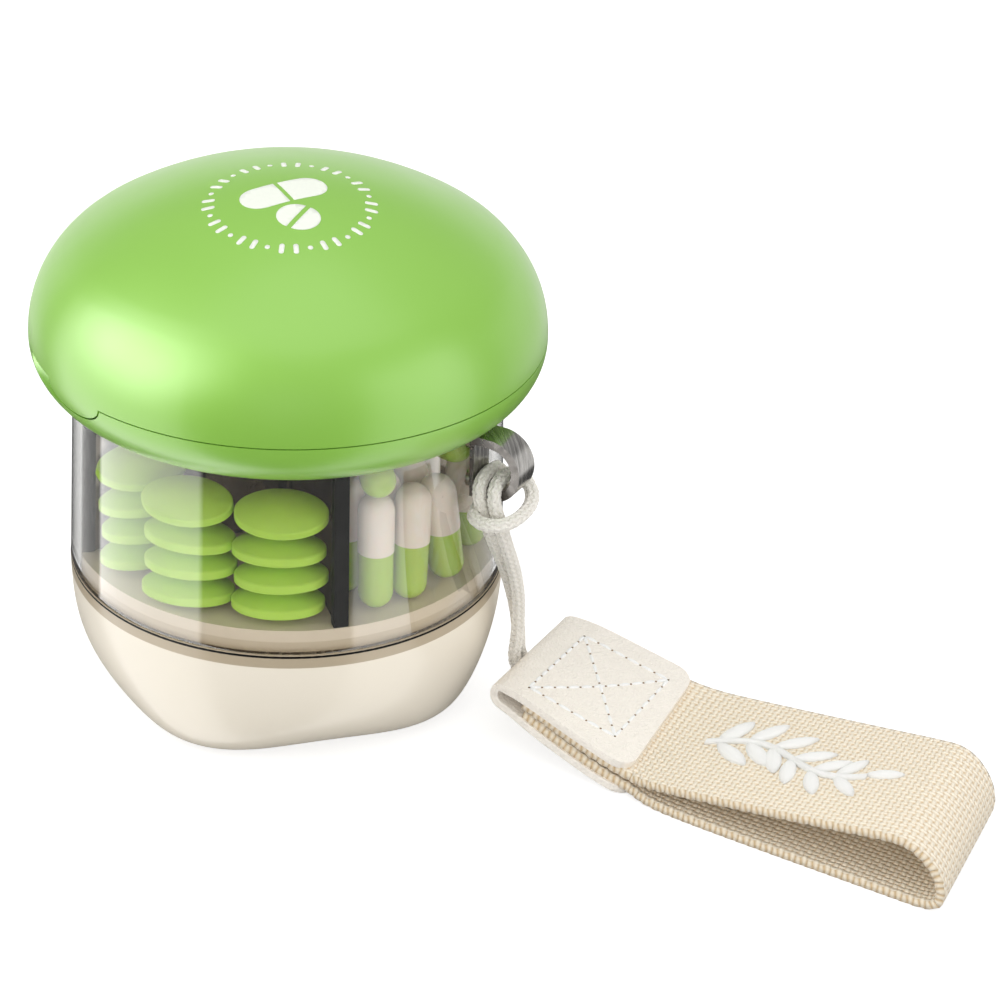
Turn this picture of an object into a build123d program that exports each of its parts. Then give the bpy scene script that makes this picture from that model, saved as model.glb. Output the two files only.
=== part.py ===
"""A mushroom-shaped pill cutter with a compartment stem, a cord and a wrist strap.

Millimetres, +Z up. The origin is the middle of the base's underside. The stem's four vanes
lie along X and Y. The cap is pushed on with its thumb dish at -Y and its hinge at +Y, turned
by CAP_TURN about Z.
"""

from build123d import *
from math import acos, asin, atan2, cos, degrees, dist, pi, radians, sin, tan
import os

os.makedirs("parts", exist_ok=True)

# Cap: the part above the stem, a shallow tray below the seam and a domed lid above it
CAP_RADIUS = 40.0
SEAM_Z = 61.5
SEAM_GAP = 0.2
DOME_RISE = 24.6
DOME_SHOULDER = 18.0
CAP_WALL = 1.8
TRAY_DEPTH = 8.0
TRAY_FOOT_RADIUS = 34.3
CAP_TURN = 14.0

# Stem: the clear beaker with the compartments
BODY_FOOT_RADIUS = 34.2
BODY_SHOULDER_RADIUS = 33.4
BODY_WALL = 1.5
FLOOR_RISE = 3.7
BODY_FLOOR = 1.2
NECK_STEP = 0.5
NECK_HEIGHT = 3.0
SHOULDER_GAP = 0.3
VANE = 1.2
VANE_TOP_GAP = 2.2
HUB_RADIUS = 1.8
STRIP_WIDTH = 2.3
STRIP_DEPTH = 1.6
STRIP_SLOT = 0.8

# Base: the four-lobed foot, with the collar that closes it
BASE_HEIGHT = 20.6
BASE_WALL = 2.0
BASE_FOOT_RADIUS = 21.7
LOBE_DEPTH = 2.8
LOBE_TURN = 45.0
SWELL_POWER = 2.33
LOBE_FADE = 3.9
FOOT_STEPS = 8
FOOT_POINTS = 24
COLLAR_THICKNESS = 1.6
PLUG_WALL = 1.6
PLUG_DEPTH = 4.0
SPIGOT_HEIGHT = 2.3
MOUTH_STEP = 0.2
GASKET = 0.6

# Cutter deck and its fittings
DECK_THICKNESS = 1.5
DECK_INSET = 1.4
DECK_GAP = 0.1
LEDGE = 1.1
LEDGE_REACH = 1.1
POCKET_DRAFT = 0.4
SEAL_THICKNESS = 0.6
SEAL_LIP = 1.8
SEAL_LIP_THICKNESS = 0.9
BED_LENGTH = 34.0
BED_WIDTH = 36.0
BED_PLATE = 1.2
BED_WALL = 2.4
BED_WALL_HEIGHT = 7.0
BED_BACK = 4.0
BED_CORNER = 4.0
PEG_INSET = 3.0
V_HALF_ANGLE = 30.0
V_APEX_Y = 12.0
V_SLOT = 1.8
GRIP = 0.8
GROOVE_DEPTH = 0.8
V_REACH = 24.0
PEG_RADIUS = 1.2
PEG_HEAD_RADIUS = 1.9
PEG_HEAD = 0.7
BLADE_THICKNESS = 0.4
BLADE_LENGTH = 34.0
BLADE_FRONT_Y = -18.0
BLADE_BITE = 0.4
BLADE_GRIND = 1.6
HOLDER_WIDTH = 5.0
HOLDER_GAP = 0.8
HOLDER_HEIGHT = 5.6
FLANGE_WIDTH = 14.0
FLANGE = 2.0
FLANGE_CORNER = 3.0
BOSS_RADIUS = 3.0
BOSS_SPACING = 26.0
PIN_SPACING = 16.0
SLOT_ROOF = 0.6

# Hinge at the back of the cap
PIN_RADIUS = 0.9
PIN_LENGTH = 15.6
KNUCKLE_RADIUS = 2.1
KNUCKLE_HALF_WIDTH = 8.0
LID_KNUCKLE_HALF_WIDTH = 2.9
HINGE_INSET = 2.7
COVE_HALF_WIDTH = 16.5
COVE_DEPTH = 5.33
COVE_CENTRE_INSET = 0.7
ARM_THICKNESS = 2.0

# Thumb dish and lift tab at the front of the cap
DISH_HALF_WIDTH = 12.2
DISH_DEPTH = 4.2
DISH_DROP = 3.3
DISH_CENTRE_OUTSET = 1.0
DISH_SKIN = 1.3
TAB_OFFSET = 4.9
TAB_HALF_WIDTH = 6.6
TAB_DROP = 2.9
TAB_THICKNESS = 1.1

# Latch hooks inside the lid's front
HOOK_ANGLES = (-115, -65)
HOOK_INSET = 1.6
HOOK_THICKNESS = 1.0
HOOK_WIDTH = 4.0
HOOK_ROOT_LOW = 1.2
HOOK_ROOT_HIGH = 3.5

# Clearances
SNUG = 0.05
RUNNING = 0.05
CLEAR = 0.3

# Screws
SCREW_RADIUS = 0.8
SCREW_HEAD_RADIUS = 1.4
SCREW_HEAD = 0.9
SCREW_EDGE = 0.4
SCREW_SLOT = (2.0, 0.4, 0.8)
DECK_SCREW_GRIP = 2.4
HOLDER_SCREW_GRIP = 4.0
DECK_SCREW_ANGLES = (40, 140, 220, 320)

# Cord loop on the stem
LOOP_ANGLE = 45.0
LOOP_RADIUS = 5.2
LOOP_BAND = 1.4
LOOP_WIDTH = 5.0
LOOP_Z = 47.7
LOOP_REACH = 36.8
LOOP_PLATE = 0.6
RIVET_RADIUS = 0.8
RIVET_HEAD_RADIUS = 1.5
RIVET_HEAD = 0.6
RIVET_INSET = 1.9

# Cord, written as radius, distance toward the front of the loop, height
CORD_RADIUS = 1.1
CORD_ROUTE = [
    (43.4, -10.8, 5.6),
    (36.3, -11.0, 5.9),
    (36.6, -10.2, 14.5),
    (37.2, -4.8, 26.0),
    (37.4, 3.2, 38.2),
    (35.4, 4.3, 45.9),
    (35.4, -4.3, 45.9),
    (35.1, -4.3, 41.0),
    (35.1, 6.6, 40.8),
    (42.1, 6.6, 41.0),
    (42.1, -4.3, 41.0),
    (38.0, -4.3, 45.9),
    (38.0, 4.3, 45.9),
    (39.8, 3.2, 38.2),
    (39.6, -3.2, 26.5),
    (37.6, -8.2, 15.0),
    (36.3, -8.5, 5.7),
    (43.4, -8.3, 5.5),
]

# Wrist strap on the floor: webbing loop with a leather tab, in its own slanted frame
STRAP_X = 49.5
STRAP_Y = 38.4
STRAP_ANGLE = 41.55
TAB_LENGTH = 24.5
TAB_WIDTH = 31.0
LEATHER = 1.3
TAB_TOE = 5.6
FOLD_RADIUS = 5.45
TAB_CORNER = 3.5
CORD_SLOT_WIDTH = 5.6
CORD_SLOT_HEIGHT = 4.0
CORD_SLOT_SHIFT = 2.1
WEBBING = 1.3
WEBBING_WIDTH = 30.0
WEBBING_GRIP = 14.0
WEBBING_LANDING = 7.0
LOOP_END_RADIUS = 5.5
LOOP_END_REACH = 50.3
LOOP_SAG = 0.5

# Sizes that follow from the ones above
tray_foot_z = SEAM_Z - TRAY_DEPTH
tray_rim_z = SEAM_Z - SEAM_GAP / 2
tray_depth = tray_rim_z - tray_foot_z
tray_flat = max(0, CAP_RADIUS - TRAY_FOOT_RADIUS - tray_depth)
tray_slope = CAP_RADIUS - TRAY_FOOT_RADIUS - tray_flat
tray_round = (tray_slope**2 + tray_depth**2) / (2 * tray_slope)
lid_rim_z = SEAM_Z + SEAM_GAP / 2
lid_rise = DOME_RISE - SEAM_GAP / 2
shoulder_reach = CAP_RADIUS - DOME_SHOULDER
crown_radius = (shoulder_reach**2 + lid_rise**2 - DOME_SHOULDER**2) / (2 * (lid_rise - DOME_SHOULDER))
lid_top_z = lid_rim_z + lid_rise
collar_z = BASE_HEIGHT
collar_top_z = collar_z + COLLAR_THICKNESS
seam_stack = COLLAR_THICKNESS + GASKET
body_foot_z = BASE_HEIGHT + seam_stack
body_floor_z = body_foot_z + FLOOR_RISE
shoulder_z = tray_foot_z - SHOULDER_GAP
body_top_z = shoulder_z + NECK_HEIGHT
neck_radius = BODY_SHOULDER_RADIUS - NECK_STEP
neck_inner = BODY_SHOULDER_RADIUS - BODY_WALL
bore_radius = neck_radius + CLEAR
seal_top_z = body_top_z + SEAL_THICKNESS
deck_z = seal_top_z + LEDGE
deck_top_z = deck_z + DECK_THICKNESS
ledge_inner = neck_inner - LEDGE_REACH
deck_radius = CAP_RADIUS - CAP_WALL - DECK_INSET
deck_screw_ring = deck_radius - SCREW_HEAD_RADIUS - SCREW_EDGE
vane_top_z = body_top_z - VANE_TOP_GAP
bed_floor_z = deck_top_z + BED_PLATE
bed_wall_top_z = bed_floor_z + BED_WALL_HEIGHT
blade_edge_z = bed_floor_z - BLADE_BITE
holder_z = bed_wall_top_z + HOLDER_GAP
flange_z = holder_z + HOLDER_HEIGHT
hinge_y = CAP_RADIUS - HINGE_INSET
base_mouth = BODY_FOOT_RADIUS - BASE_WALL - MOUTH_STEP
beyond = 1.5 * CAP_RADIUS


def turned(*edges):
    """A solid of revolution about Z from an outline drawn in radius and height."""
    lines = [Plane.XZ * edge for line in edges for edge in line.edges()]
    return revolve(make_face(lines), Axis.Z)


def ring(inner, outer, low, high):
    """A plain ring, or a disc when inner is 0."""
    height = high - low
    solid = Pos(0, 0, low) * Cylinder(outer, height, align=(Align.CENTER, Align.CENTER, Align.MIN))
    if inner > 0:
        solid -= Pos(0, 0, low) * Cylinder(inner, height, align=(Align.CENTER, Align.CENTER, Align.MIN))
    return solid


def block(x0, x1, y0, y1, z0, z1):
    """A box between two corners."""
    return Pos((x0 + x1) / 2, (y0 + y1) / 2, (z0 + z1) / 2) * Box(x1 - x0, y1 - y0, z1 - z0)


def upright(radius, low, high, x=0.0, y=0.0):
    """A cylinder along Z."""
    return Pos(x, y, low) * Cylinder(radius, high - low, align=(Align.CENTER, Align.CENTER, Align.MIN))


def along_x(radius, half_length, y, z):
    """A cylinder along X, centred on the YZ plane."""
    return Pos(0, y, z) * Rot(0, 90, 0) * Cylinder(radius, 2 * half_length)


def ellipsoid(centre, semi_axes):
    """A solid ellipsoid with its axes along X, Y and Z."""
    return Pos(*centre) * scale(Sphere(1), by=semi_axes)


def wall_radius(z):
    """Outer radius of the clear body's slightly tapered wall at height z."""
    share = (z - body_foot_z) / (shoulder_z - body_foot_z)
    return BODY_FOOT_RADIUS + share * (BODY_SHOULDER_RADIUS - BODY_FOOT_RADIUS)


# Base


def foot_radius(share, angle):
    """Radius of the lobed foot at a share of its height, before any wall is taken off."""
    swell = (1 - (1 - share) ** SWELL_POWER) ** (1 / SWELL_POWER)
    lobe = LOBE_DEPTH * (1 - share) ** LOBE_FADE * cos(radians(4 * (angle - LOBE_TURN)))
    return BASE_FOOT_RADIUS + (BODY_FOOT_RADIUS - BASE_FOOT_RADIUS) * swell + lobe


def lobed_body(inset, low):
    """The foot's rounded, four-lobed form, drawn in by inset, from height low to its top."""
    sections = []
    full = body_foot_z
    for step in range(FOOT_STEPS + 1):
        share = 1 - cos(pi / 2 * step / FOOT_STEPS)
        z = low + share * (BASE_HEIGHT - low)
        points = []
        for k in range(FOOT_POINTS):
            angle = 360 / FOOT_POINTS * k
            radius = foot_radius(share * BASE_HEIGHT / full, angle) - inset
            points.append((radius * cos(radians(angle)), radius * sin(radians(angle)), z))
        sections.append(Face(Wire([Spline(*points, periodic=True)])))
    return loft(sections)


def base_shell():
    """The cream foot: a cup with a round mouth and four lobes at the floor."""
    cup = lobed_body(0, 0) - lobed_body(BASE_WALL, BASE_WALL)
    return cup - upright(base_mouth, BASE_HEIGHT - PLUG_DEPTH - CLEAR, BASE_HEIGHT)


def base_collar():
    """The clear ring between foot and beaker, with a plug below and a spigot above."""
    plug = base_mouth - SNUG
    spigot = wall_radius(body_foot_z) - BODY_WALL - MOUTH_STEP
    disc = ring(0, BODY_FOOT_RADIUS, collar_z, collar_top_z)
    disc += ring(plug - PLUG_WALL, plug, collar_z - PLUG_DEPTH, collar_z)
    return disc + ring(spigot - PLUG_WALL, spigot, collar_top_z, collar_top_z + SPIGOT_HEIGHT)


def seam_gasket():
    """The thin dark ring in the seam under the beaker."""
    spigot = wall_radius(body_foot_z) - BODY_WALL - MOUTH_STEP
    return ring(spigot + SNUG, BODY_FOOT_RADIUS, collar_top_z, body_foot_z)


# Beaker and dividers


def clear_body():
    """The smoky beaker: a tapered wall, a floor, a skirt below it and a stepped neck."""
    floor_low = body_floor_z - BODY_FLOOR
    skirt = wall_radius(body_foot_z) - BODY_WALL
    inner_floor = wall_radius(body_floor_z) - BODY_WALL
    outline = Polyline(
        (0, floor_low),
        (skirt, floor_low),
        (skirt, body_foot_z),
        (BODY_FOOT_RADIUS, body_foot_z),
        (BODY_SHOULDER_RADIUS, shoulder_z),
        (neck_radius, shoulder_z),
        (neck_radius, body_top_z),
        (neck_inner, body_top_z),
        (inner_floor, body_floor_z),
        (0, body_floor_z),
        close=True,
    )
    body = turned(outline)
    for z in rivet_heights():
        body -= radial_peg(RIVET_RADIUS + SNUG, neck_inner - 2, BODY_FOOT_RADIUS + 2, z)
    return body


def inner_radius(z):
    """Inner radius of the beaker's wall between its floor and its rim."""
    low = wall_radius(body_floor_z) - BODY_WALL
    share = (z - body_floor_z) / (body_top_z - body_floor_z)
    return low + share * (neck_inner - low)


def vane_outline(back, end):
    """Outline in radius and height from the axis side to a line that follows the wall."""
    low = inner_radius(body_floor_z) - end
    high = inner_radius(vane_top_z) - end
    start_low = 0 if back is None else low - back
    start_high = 0 if back is None else high - back
    return Polyline(
        (start_low, body_floor_z),
        (low, body_floor_z),
        (high, vane_top_z),
        (start_high, vane_top_z),
        close=True,
    )


def divider_cross():
    """Four clear vanes on a small hub."""
    vane_end = CLEAR + STRIP_DEPTH - STRIP_SLOT
    vane = extrude(make_face(Plane.XZ * vane_outline(None, vane_end)), VANE / 2, both=True)
    cross = upright(HUB_RADIUS, body_floor_z, vane_top_z)
    for k in range(4):
        cross += Rot(0, 0, 90 * k) * vane
    return cross


def divider_edge_strips():
    """Dark channel strips pushed over the vanes' outer edges."""
    bar = extrude(make_face(Plane.XZ * vane_outline(STRIP_DEPTH, CLEAR / 2)), STRIP_WIDTH / 2, both=True)
    slot_end = CLEAR + STRIP_DEPTH - STRIP_SLOT
    slot = extrude(make_face(Plane.XZ * vane_outline(STRIP_DEPTH + 1, slot_end)), VANE / 2, both=True)
    strip = bar - slot
    return Compound([Rot(0, 0, 90 * k) * strip for k in range(4)])


# Cord loop, on the stem's wall


def loop_frame():
    """Frame of the cord loop: X outward, Y toward the back, Z up."""
    return Rot(0, 0, LOOP_ANGLE)


def rivet_heights():
    """Heights of the loop's two rivets."""
    return (LOOP_Z - LOOP_RADIUS + RIVET_INSET, LOOP_Z + LOOP_RADIUS - RIVET_INSET)


def radial_peg(radius, start, end, z):
    """A round peg that points outward at the loop's angle."""
    peg = Pos((start + end) / 2, 0, z) * Rot(0, 90, 0) * Cylinder(radius, end - start)
    return loop_frame() * peg


def stem_wall_solid():
    """The beaker's outer form without its hollow, for fitting pieces against it."""
    return turned(
        Polyline(
            (0, body_foot_z),
            (BODY_FOOT_RADIUS, body_foot_z),
            (BODY_SHOULDER_RADIUS, shoulder_z),
            (0, shoulder_z),
            close=True,
        )
    )


def lanyard_loop():
    """A chrome D: a round band whose inner side runs into a plate on the wall."""
    centre = Pos(LOOP_REACH, 0, LOOP_Z) * Rot(90, 0, 0)
    face = wall_radius(LOOP_Z)
    band = centre * (Cylinder(LOOP_RADIUS, LOOP_WIDTH) - Cylinder(LOOP_RADIUS - LOOP_BAND, LOOP_WIDTH))
    arm_low = LOOP_Z - LOOP_RADIUS
    arm_high = LOOP_Z + LOOP_RADIUS
    half = LOOP_WIDTH / 2
    arms = block(face - 1, LOOP_REACH, -half, half, arm_low, arm_low + LOOP_BAND)
    arms += block(face - 1, LOOP_REACH, -half, half, arm_high - LOOP_BAND, arm_high)
    band -= block(face - 8, LOOP_REACH, -half, half, arm_low, arm_high)
    plate = block(face - 1, face + LOOP_PLATE, -half, half, arm_low, arm_high)
    loop = loop_frame() * (band + arms + plate) - stem_wall_solid()
    for z in rivet_heights():
        loop -= radial_peg(RIVET_RADIUS + SNUG, face - 2, face + LOOP_PLATE + 1, z)
    return loop


def loop_rivets():
    """Two rivets through plate and wall, with flat heads inside and outside."""
    face = wall_radius(LOOP_Z)
    rivets = []
    for z in rivet_heights():
        inner = inner_radius(z) - 0.05
        peg = radial_peg(RIVET_RADIUS, inner - RIVET_HEAD, face + LOOP_PLATE, z)
        rivets.append(peg + radial_peg(RIVET_HEAD_RADIUS, inner - RIVET_HEAD, inner, z))
    return Compound(rivets)


# Cord


def cord_point(reach, front, z):
    """A point of the cord's route in the part's frame."""
    angle = radians(LOOP_ANGLE)
    return (
        reach * cos(angle) + front * sin(angle),
        reach * sin(angle) - front * cos(angle),
        z,
    )


def bend_radii(points):
    """Bend radius at each inner point, from the shorter run beside it."""
    radii = []
    for before, here, after in zip(points, points[1:], points[2:]):
        a = [h - b for h, b in zip(here, before)]
        b = [n - h for n, h in zip(after, here)]
        run_a = dist(before, here)
        run_b = dist(here, after)
        cosine = sum(p * q for p, q in zip(a, b)) / (run_a * run_b)
        half_turn = acos(max(-1, min(1, cosine))) / 2
        radii.append(0.45 * min(run_a, run_b) / tan(half_turn))
    return radii


def lanyard_cord():
    """One cord hitched through the loop, with its two ends side by side in the tab."""
    points = [cord_point(*p) for p in CORD_ROUTE]
    radii = bend_radii(points)
    path = FilletPolyline(*points, radius=radii)
    start = Plane(origin=path @ 0, z_dir=path % 0)
    cord = sweep(start * Circle(CORD_RADIUS), path=path)
    print("cord length", round(path.length, 1), "radii", [round(r, 1) for r in radii])
    print("cord volume share", round(cord.volume / (pi * CORD_RADIUS**2 * path.length), 4))
    return cord


# Wrist strap


def strap_plane():
    """Side view of the strap: X away from the stem, Y up, Z toward the front edge."""
    angle = radians(STRAP_ANGLE)
    return Plane(
        origin=(STRAP_X, STRAP_Y, 0),
        x_dir=(cos(angle), sin(angle), 0),
        z_dir=(sin(angle), -cos(angle), 0),
    )


def slab(outline, width, start=0.0):
    """An outline in the strap's side view, made as wide as the strap."""
    side = strap_plane() * Pos(0, 0, -start) * make_face(outline)
    return extrude(side, width, dir=-strap_plane().z_dir)


def leather_tab():
    """A folded leather tab, round where it holds the cord, with a slit for the webbing."""
    centre_s = FOLD_RADIUS - TAB_LENGTH
    slope = (2 * FOLD_RADIUS - TAB_TOE) / (TAB_LENGTH - FOLD_RADIUS)
    lean = pi / 2 - slope
    top = (centre_s + FOLD_RADIUS * cos(lean), FOLD_RADIUS + FOLD_RADIUS * sin(lean))
    outline = (
        Line((0, 0), (centre_s, 0))
        + ThreePointArc((centre_s, 0), (-TAB_LENGTH, FOLD_RADIUS), top)
        + Line(top, (0, TAB_TOE))
        + Line((0, TAB_TOE), (0, 0))
    )
    tab = slab(outline, TAB_WIDTH)
    middle = Pos(-TAB_LENGTH / 2, -TAB_WIDTH / 2)
    plan = middle * RectangleRounded(TAB_LENGTH, TAB_WIDTH, TAB_CORNER)
    floor = Plane(origin=(STRAP_X, STRAP_Y, 0), x_dir=strap_plane().x_dir, z_dir=(0, 0, -1))
    tab &= extrude(floor * plan, 3 * FOLD_RADIUS, dir=(0, 0, 1))
    tunnel = Pos(centre_s, FOLD_RADIUS) * Circle(FOLD_RADIUS - LEATHER)
    slit = Polyline(
        (1, LEATHER),
        (-WEBBING_GRIP, LEATHER),
        (-WEBBING_GRIP, LEATHER + 2 * WEBBING),
        (0, LEATHER + 2 * WEBBING + CLEAR),
        (1, LEATHER + 2 * WEBBING + CLEAR),
        close=True,
    )
    tab -= slab(tunnel, TAB_WIDTH + 2, -1)
    tab -= slab(slit, TAB_WIDTH + 2, -1)
    half = CORD_SLOT_HEIGHT / 2
    mouth = Polyline(
        (-TAB_LENGTH - 1, FOLD_RADIUS - half),
        (centre_s, FOLD_RADIUS - half),
        (centre_s, FOLD_RADIUS + half),
        (-TAB_LENGTH - 1, FOLD_RADIUS + half),
        close=True,
    )
    return tab - slab(mouth, CORD_SLOT_WIDTH, TAB_WIDTH / 2 - CORD_SLOT_SHIFT)


def wrist_strap():
    """The webbing: one flat band laid in a long loop, its ends held in the tab."""
    side = (TAB_WIDTH - WEBBING_WIDTH) / 2
    tip = LOOP_END_RADIUS
    lean = radians(100)
    joint = (LEATHER, LEATHER + 2 * WEBBING)

    def crest(radius):
        return (LOOP_END_REACH + radius * cos(lean), tip + radius * sin(lean))

    def sagging(start, end):
        middle = ((start[0] + end[0]) / 2, (start[1] + end[1]) / 2 - LOOP_SAG)
        return ThreePointArc(start, middle, end)

    outer_top = (0, joint[1] + CLEAR / 2)
    outer = (
        Polyline((-WEBBING_GRIP, joint[0]), (0, joint[0]), (WEBBING_LANDING, 0), (LOOP_END_REACH, 0))
        + ThreePointArc((LOOP_END_REACH, 0), (LOOP_END_REACH + tip, tip), crest(tip))
        + sagging(crest(tip), outer_top)
        + Polyline(outer_top, (-WEBBING_GRIP, joint[1]), (-WEBBING_GRIP, joint[0]))
    )
    inner_radius_end = tip - WEBBING
    start = (0.8, joint[0] + WEBBING + 0.1)
    inner_top = (0.8, joint[0] + WEBBING + 0.3)
    inner = (
        Polyline(start, (WEBBING_LANDING + CLEAR, WEBBING), (LOOP_END_REACH, WEBBING))
        + ThreePointArc(
            (LOOP_END_REACH, WEBBING), (LOOP_END_REACH + inner_radius_end, tip), crest(inner_radius_end)
        )
        + sagging(crest(inner_radius_end), inner_top)
        + Line(inner_top, start)
    )
    return slab(outer, WEBBING_WIDTH, side) - slab(inner, WEBBING_WIDTH, side)


# Cap, tray side


def tray_form(inset):
    """The bowl's outer form up to the lid's rim, drawn in by inset."""
    reach = CAP_RADIUS - tray_round
    bend = tray_round - inset
    arc = CenterArc((reach, tray_rim_z), bend, start_angle=-90, arc_size=90)
    low = tray_rim_z - bend
    sides = Polyline((reach + bend, tray_rim_z), (reach + bend, lid_rim_z), (0, lid_rim_z), (0, low), (reach, low))
    return turned(arc, sides)


def tray_outline():
    """Half section of the tray: curved outside, plain bore, ledge and inner rim."""
    size = degrees(asin(tray_depth / tray_round))
    arc = CenterArc((CAP_RADIUS - tray_round, tray_rim_z), tray_round, start_angle=-size, arc_size=size)
    pocket = deck_radius + DECK_GAP
    inside = [
        (CAP_RADIUS, tray_rim_z),
        (CAP_RADIUS - CAP_WALL, tray_rim_z),
        (CAP_RADIUS - CAP_WALL - POCKET_DRAFT, deck_top_z),
        (pocket, deck_top_z),
        (pocket, deck_z),
        (ledge_inner, deck_z),
        (ledge_inner, seal_top_z),
        (bore_radius, seal_top_z),
        (bore_radius, tray_foot_z),
        (TRAY_FOOT_RADIUS, tray_foot_z),
    ]
    if tray_flat > 0:
        inside.append((TRAY_FOOT_RADIUS + tray_flat, tray_foot_z))
    return arc, Polyline(*inside)


def thumb_dish(extra):
    """The hollow that lets a thumb under the lid's tab."""
    centre = (0, -CAP_RADIUS - DISH_CENTRE_OUTSET, SEAM_Z)
    semi_axes = (DISH_HALF_WIDTH + extra, DISH_DEPTH + extra, DISH_DROP + extra)
    return ellipsoid(centre, semi_axes)


def tab_prism(extra):
    """The lift tab's outline seen from the front, run through the rim."""
    outline = Pos(TAB_OFFSET, SEAM_Z) * Ellipse(TAB_HALF_WIDTH + extra, TAB_DROP + extra)
    return extrude(Plane.XZ * outline, CAP_RADIUS + 2)


def rim_band(thickness):
    """The outermost layer of the tray's form, from well under the tab up to the lid's rim."""
    band = tray_form(0) - tray_form(thickness)
    return band & block(-beyond, beyond, -beyond, 0, SEAM_Z - 2 * TAB_DROP, lid_rim_z)


def hinge_support():
    """Two tray knuckles and the blocks that carry them."""
    outer = KNUCKLE_HALF_WIDTH
    inner = LID_KNUCKLE_HALF_WIDTH + CLEAR
    knuckles = along_x(KNUCKLE_RADIUS, outer, hinge_y, SEAM_Z)
    front = hinge_y - KNUCKLE_RADIUS
    back = hinge_y + KNUCKLE_RADIUS
    posts = block(-outer, outer, front, back, SEAM_Z - 4, SEAM_Z)
    posts &= tray_form(-0.2)
    return knuckles + posts, block(-inner, inner, front - 3, back + 3, SEAM_Z - 2.6, SEAM_Z + 3)


def cap_tray():
    """The green bowl under the seam, which pushes over the beaker's neck."""
    tray = turned(*tray_outline())
    front = block(-beyond, beyond, -beyond, 0, deck_top_z, tray_rim_z)
    dish_skin = tray_form(0) & thumb_dish(DISH_SKIN) & front
    tray = tray + dish_skin - thumb_dish(0)
    tray -= tab_prism(CLEAR) & (tray_form(-1) - tray_form(TAB_THICKNESS + CLEAR))
    knuckles, gap = hinge_support()
    tray = tray + knuckles - gap
    tray -= along_x(PIN_RADIUS, PIN_LENGTH / 2 + 1, hinge_y, SEAM_Z)
    for x, y in screw_places():
        tray -= upright(SCREW_RADIUS, deck_z - DECK_SCREW_GRIP - SEAM_GAP, deck_z, x, y)
    return tray


def screw_places():
    """Centres of the four deck screws."""
    places = []
    for angle in DECK_SCREW_ANGLES:
        places.append((deck_screw_ring * cos(radians(angle)), deck_screw_ring * sin(radians(angle))))
    return places


def cutter_deck():
    """The plate that closes the compartments and carries the pill bed."""
    deck = ring(0, deck_radius, deck_z, deck_top_z)
    front = hinge_y - KNUCKLE_RADIUS - CLEAR
    half = KNUCKLE_HALF_WIDTH + CLEAR
    deck -= block(-half, half, front, CAP_RADIUS, deck_z - 1, deck_top_z + 1)
    for x, y in screw_places():
        deck -= upright(SCREW_RADIUS + SNUG, deck_z, deck_top_z, x, y)
        deck -= upright(SCREW_HEAD_RADIUS + SNUG, deck_top_z - SCREW_HEAD, deck_top_z, x, y)
    for x, y in peg_places():
        deck -= upright(PEG_RADIUS + SNUG, deck_z, deck_top_z, x, y)
    return deck


def cross_slot():
    """The cross cut into a screw's head."""
    return Box(*SCREW_SLOT) + Rot(0, 0, 90) * Box(*SCREW_SLOT)


def deck_screws():
    """Four countersunk screws that hold the deck in the tray."""
    screws = []
    for x, y in screw_places():
        screw = upright(SCREW_RADIUS, deck_z - DECK_SCREW_GRIP, deck_top_z - SCREW_HEAD, x, y)
        screw += upright(SCREW_HEAD_RADIUS, deck_top_z - SCREW_HEAD, deck_top_z, x, y)
        screws.append(screw - Pos(x, y, deck_top_z) * cross_slot())
    return Compound(screws)


def cap_seal():
    """The soft ring on the beaker's rim, with a lip that goes down inside it."""
    lip = neck_inner - CLEAR
    flat = ring(ledge_inner, neck_radius, body_top_z, seal_top_z)
    return flat + ring(lip - SEAL_LIP_THICKNESS, lip, body_top_z - SEAL_LIP, seal_top_z)


def peg_places():
    """Centres of the four pegs under the pill bed."""
    x = BED_WIDTH / 2 - PEG_INSET
    low = V_APEX_Y + BED_BACK - BED_LENGTH + PEG_INSET
    high = V_APEX_Y + BED_BACK - PEG_INSET
    return ((x, low), (-x, low), (x, high), (-x, high))


def v_wall(side, start, thickness, height):
    """One slanted wall of the V, start measured in from the wall's inner face."""
    angle = radians(V_HALF_ANGLE)
    along = (side * sin(angle), -cos(angle))
    across = (side * cos(angle), sin(angle))
    foot = (side * V_SLOT / 2, V_APEX_Y)
    near = (foot[0] + across[0] * start, foot[1] + across[1] * start)
    far = (near[0] + along[0] * V_REACH, near[1] + along[1] * V_REACH)
    back = (across[0] * thickness, across[1] * thickness)
    face = Polyline(
        near,
        far,
        (far[0] + back[0], far[1] + back[1]),
        (near[0] + back[0], near[1] + back[1]),
        close=True,
    )
    return Pos(0, 0, bed_floor_z) * extrude(make_face(face), height)


def pill_bed():
    """The V-shaped seat that holds a tablet under the blade."""
    front = V_APEX_Y + BED_BACK - BED_LENGTH
    plan = Pos(0, front + BED_LENGTH / 2) * RectangleRounded(BED_WIDTH, BED_LENGTH, BED_CORNER)
    bed = Pos(0, 0, deck_top_z) * extrude(plan, BED_PLATE)
    for side in (-1, 1):
        bed += v_wall(side, 0, BED_WALL, BED_WALL_HEIGHT)
    bed -= block(-V_SLOT / 2, V_SLOT / 2, -30, 30, bed_floor_z - GROOVE_DEPTH, bed_wall_top_z + 1)
    for x, y in peg_places():
        bed += upright(PEG_RADIUS, deck_z, deck_top_z, x, y)
        bed += upright(PEG_HEAD_RADIUS, deck_z - PEG_HEAD, deck_z, x, y)
    return bed


def bed_grips():
    """Two soft pads on the V's inner faces."""
    pads = []
    for side in (-1, 1):
        pad = v_wall(side, -GRIP, GRIP, BED_WALL_HEIGHT - 1)
        pads.append(pad - block(-V_SLOT / 2, V_SLOT / 2, -30, 30, bed_floor_z - 1, bed_wall_top_z + 1))
    return Compound(pads)


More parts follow.
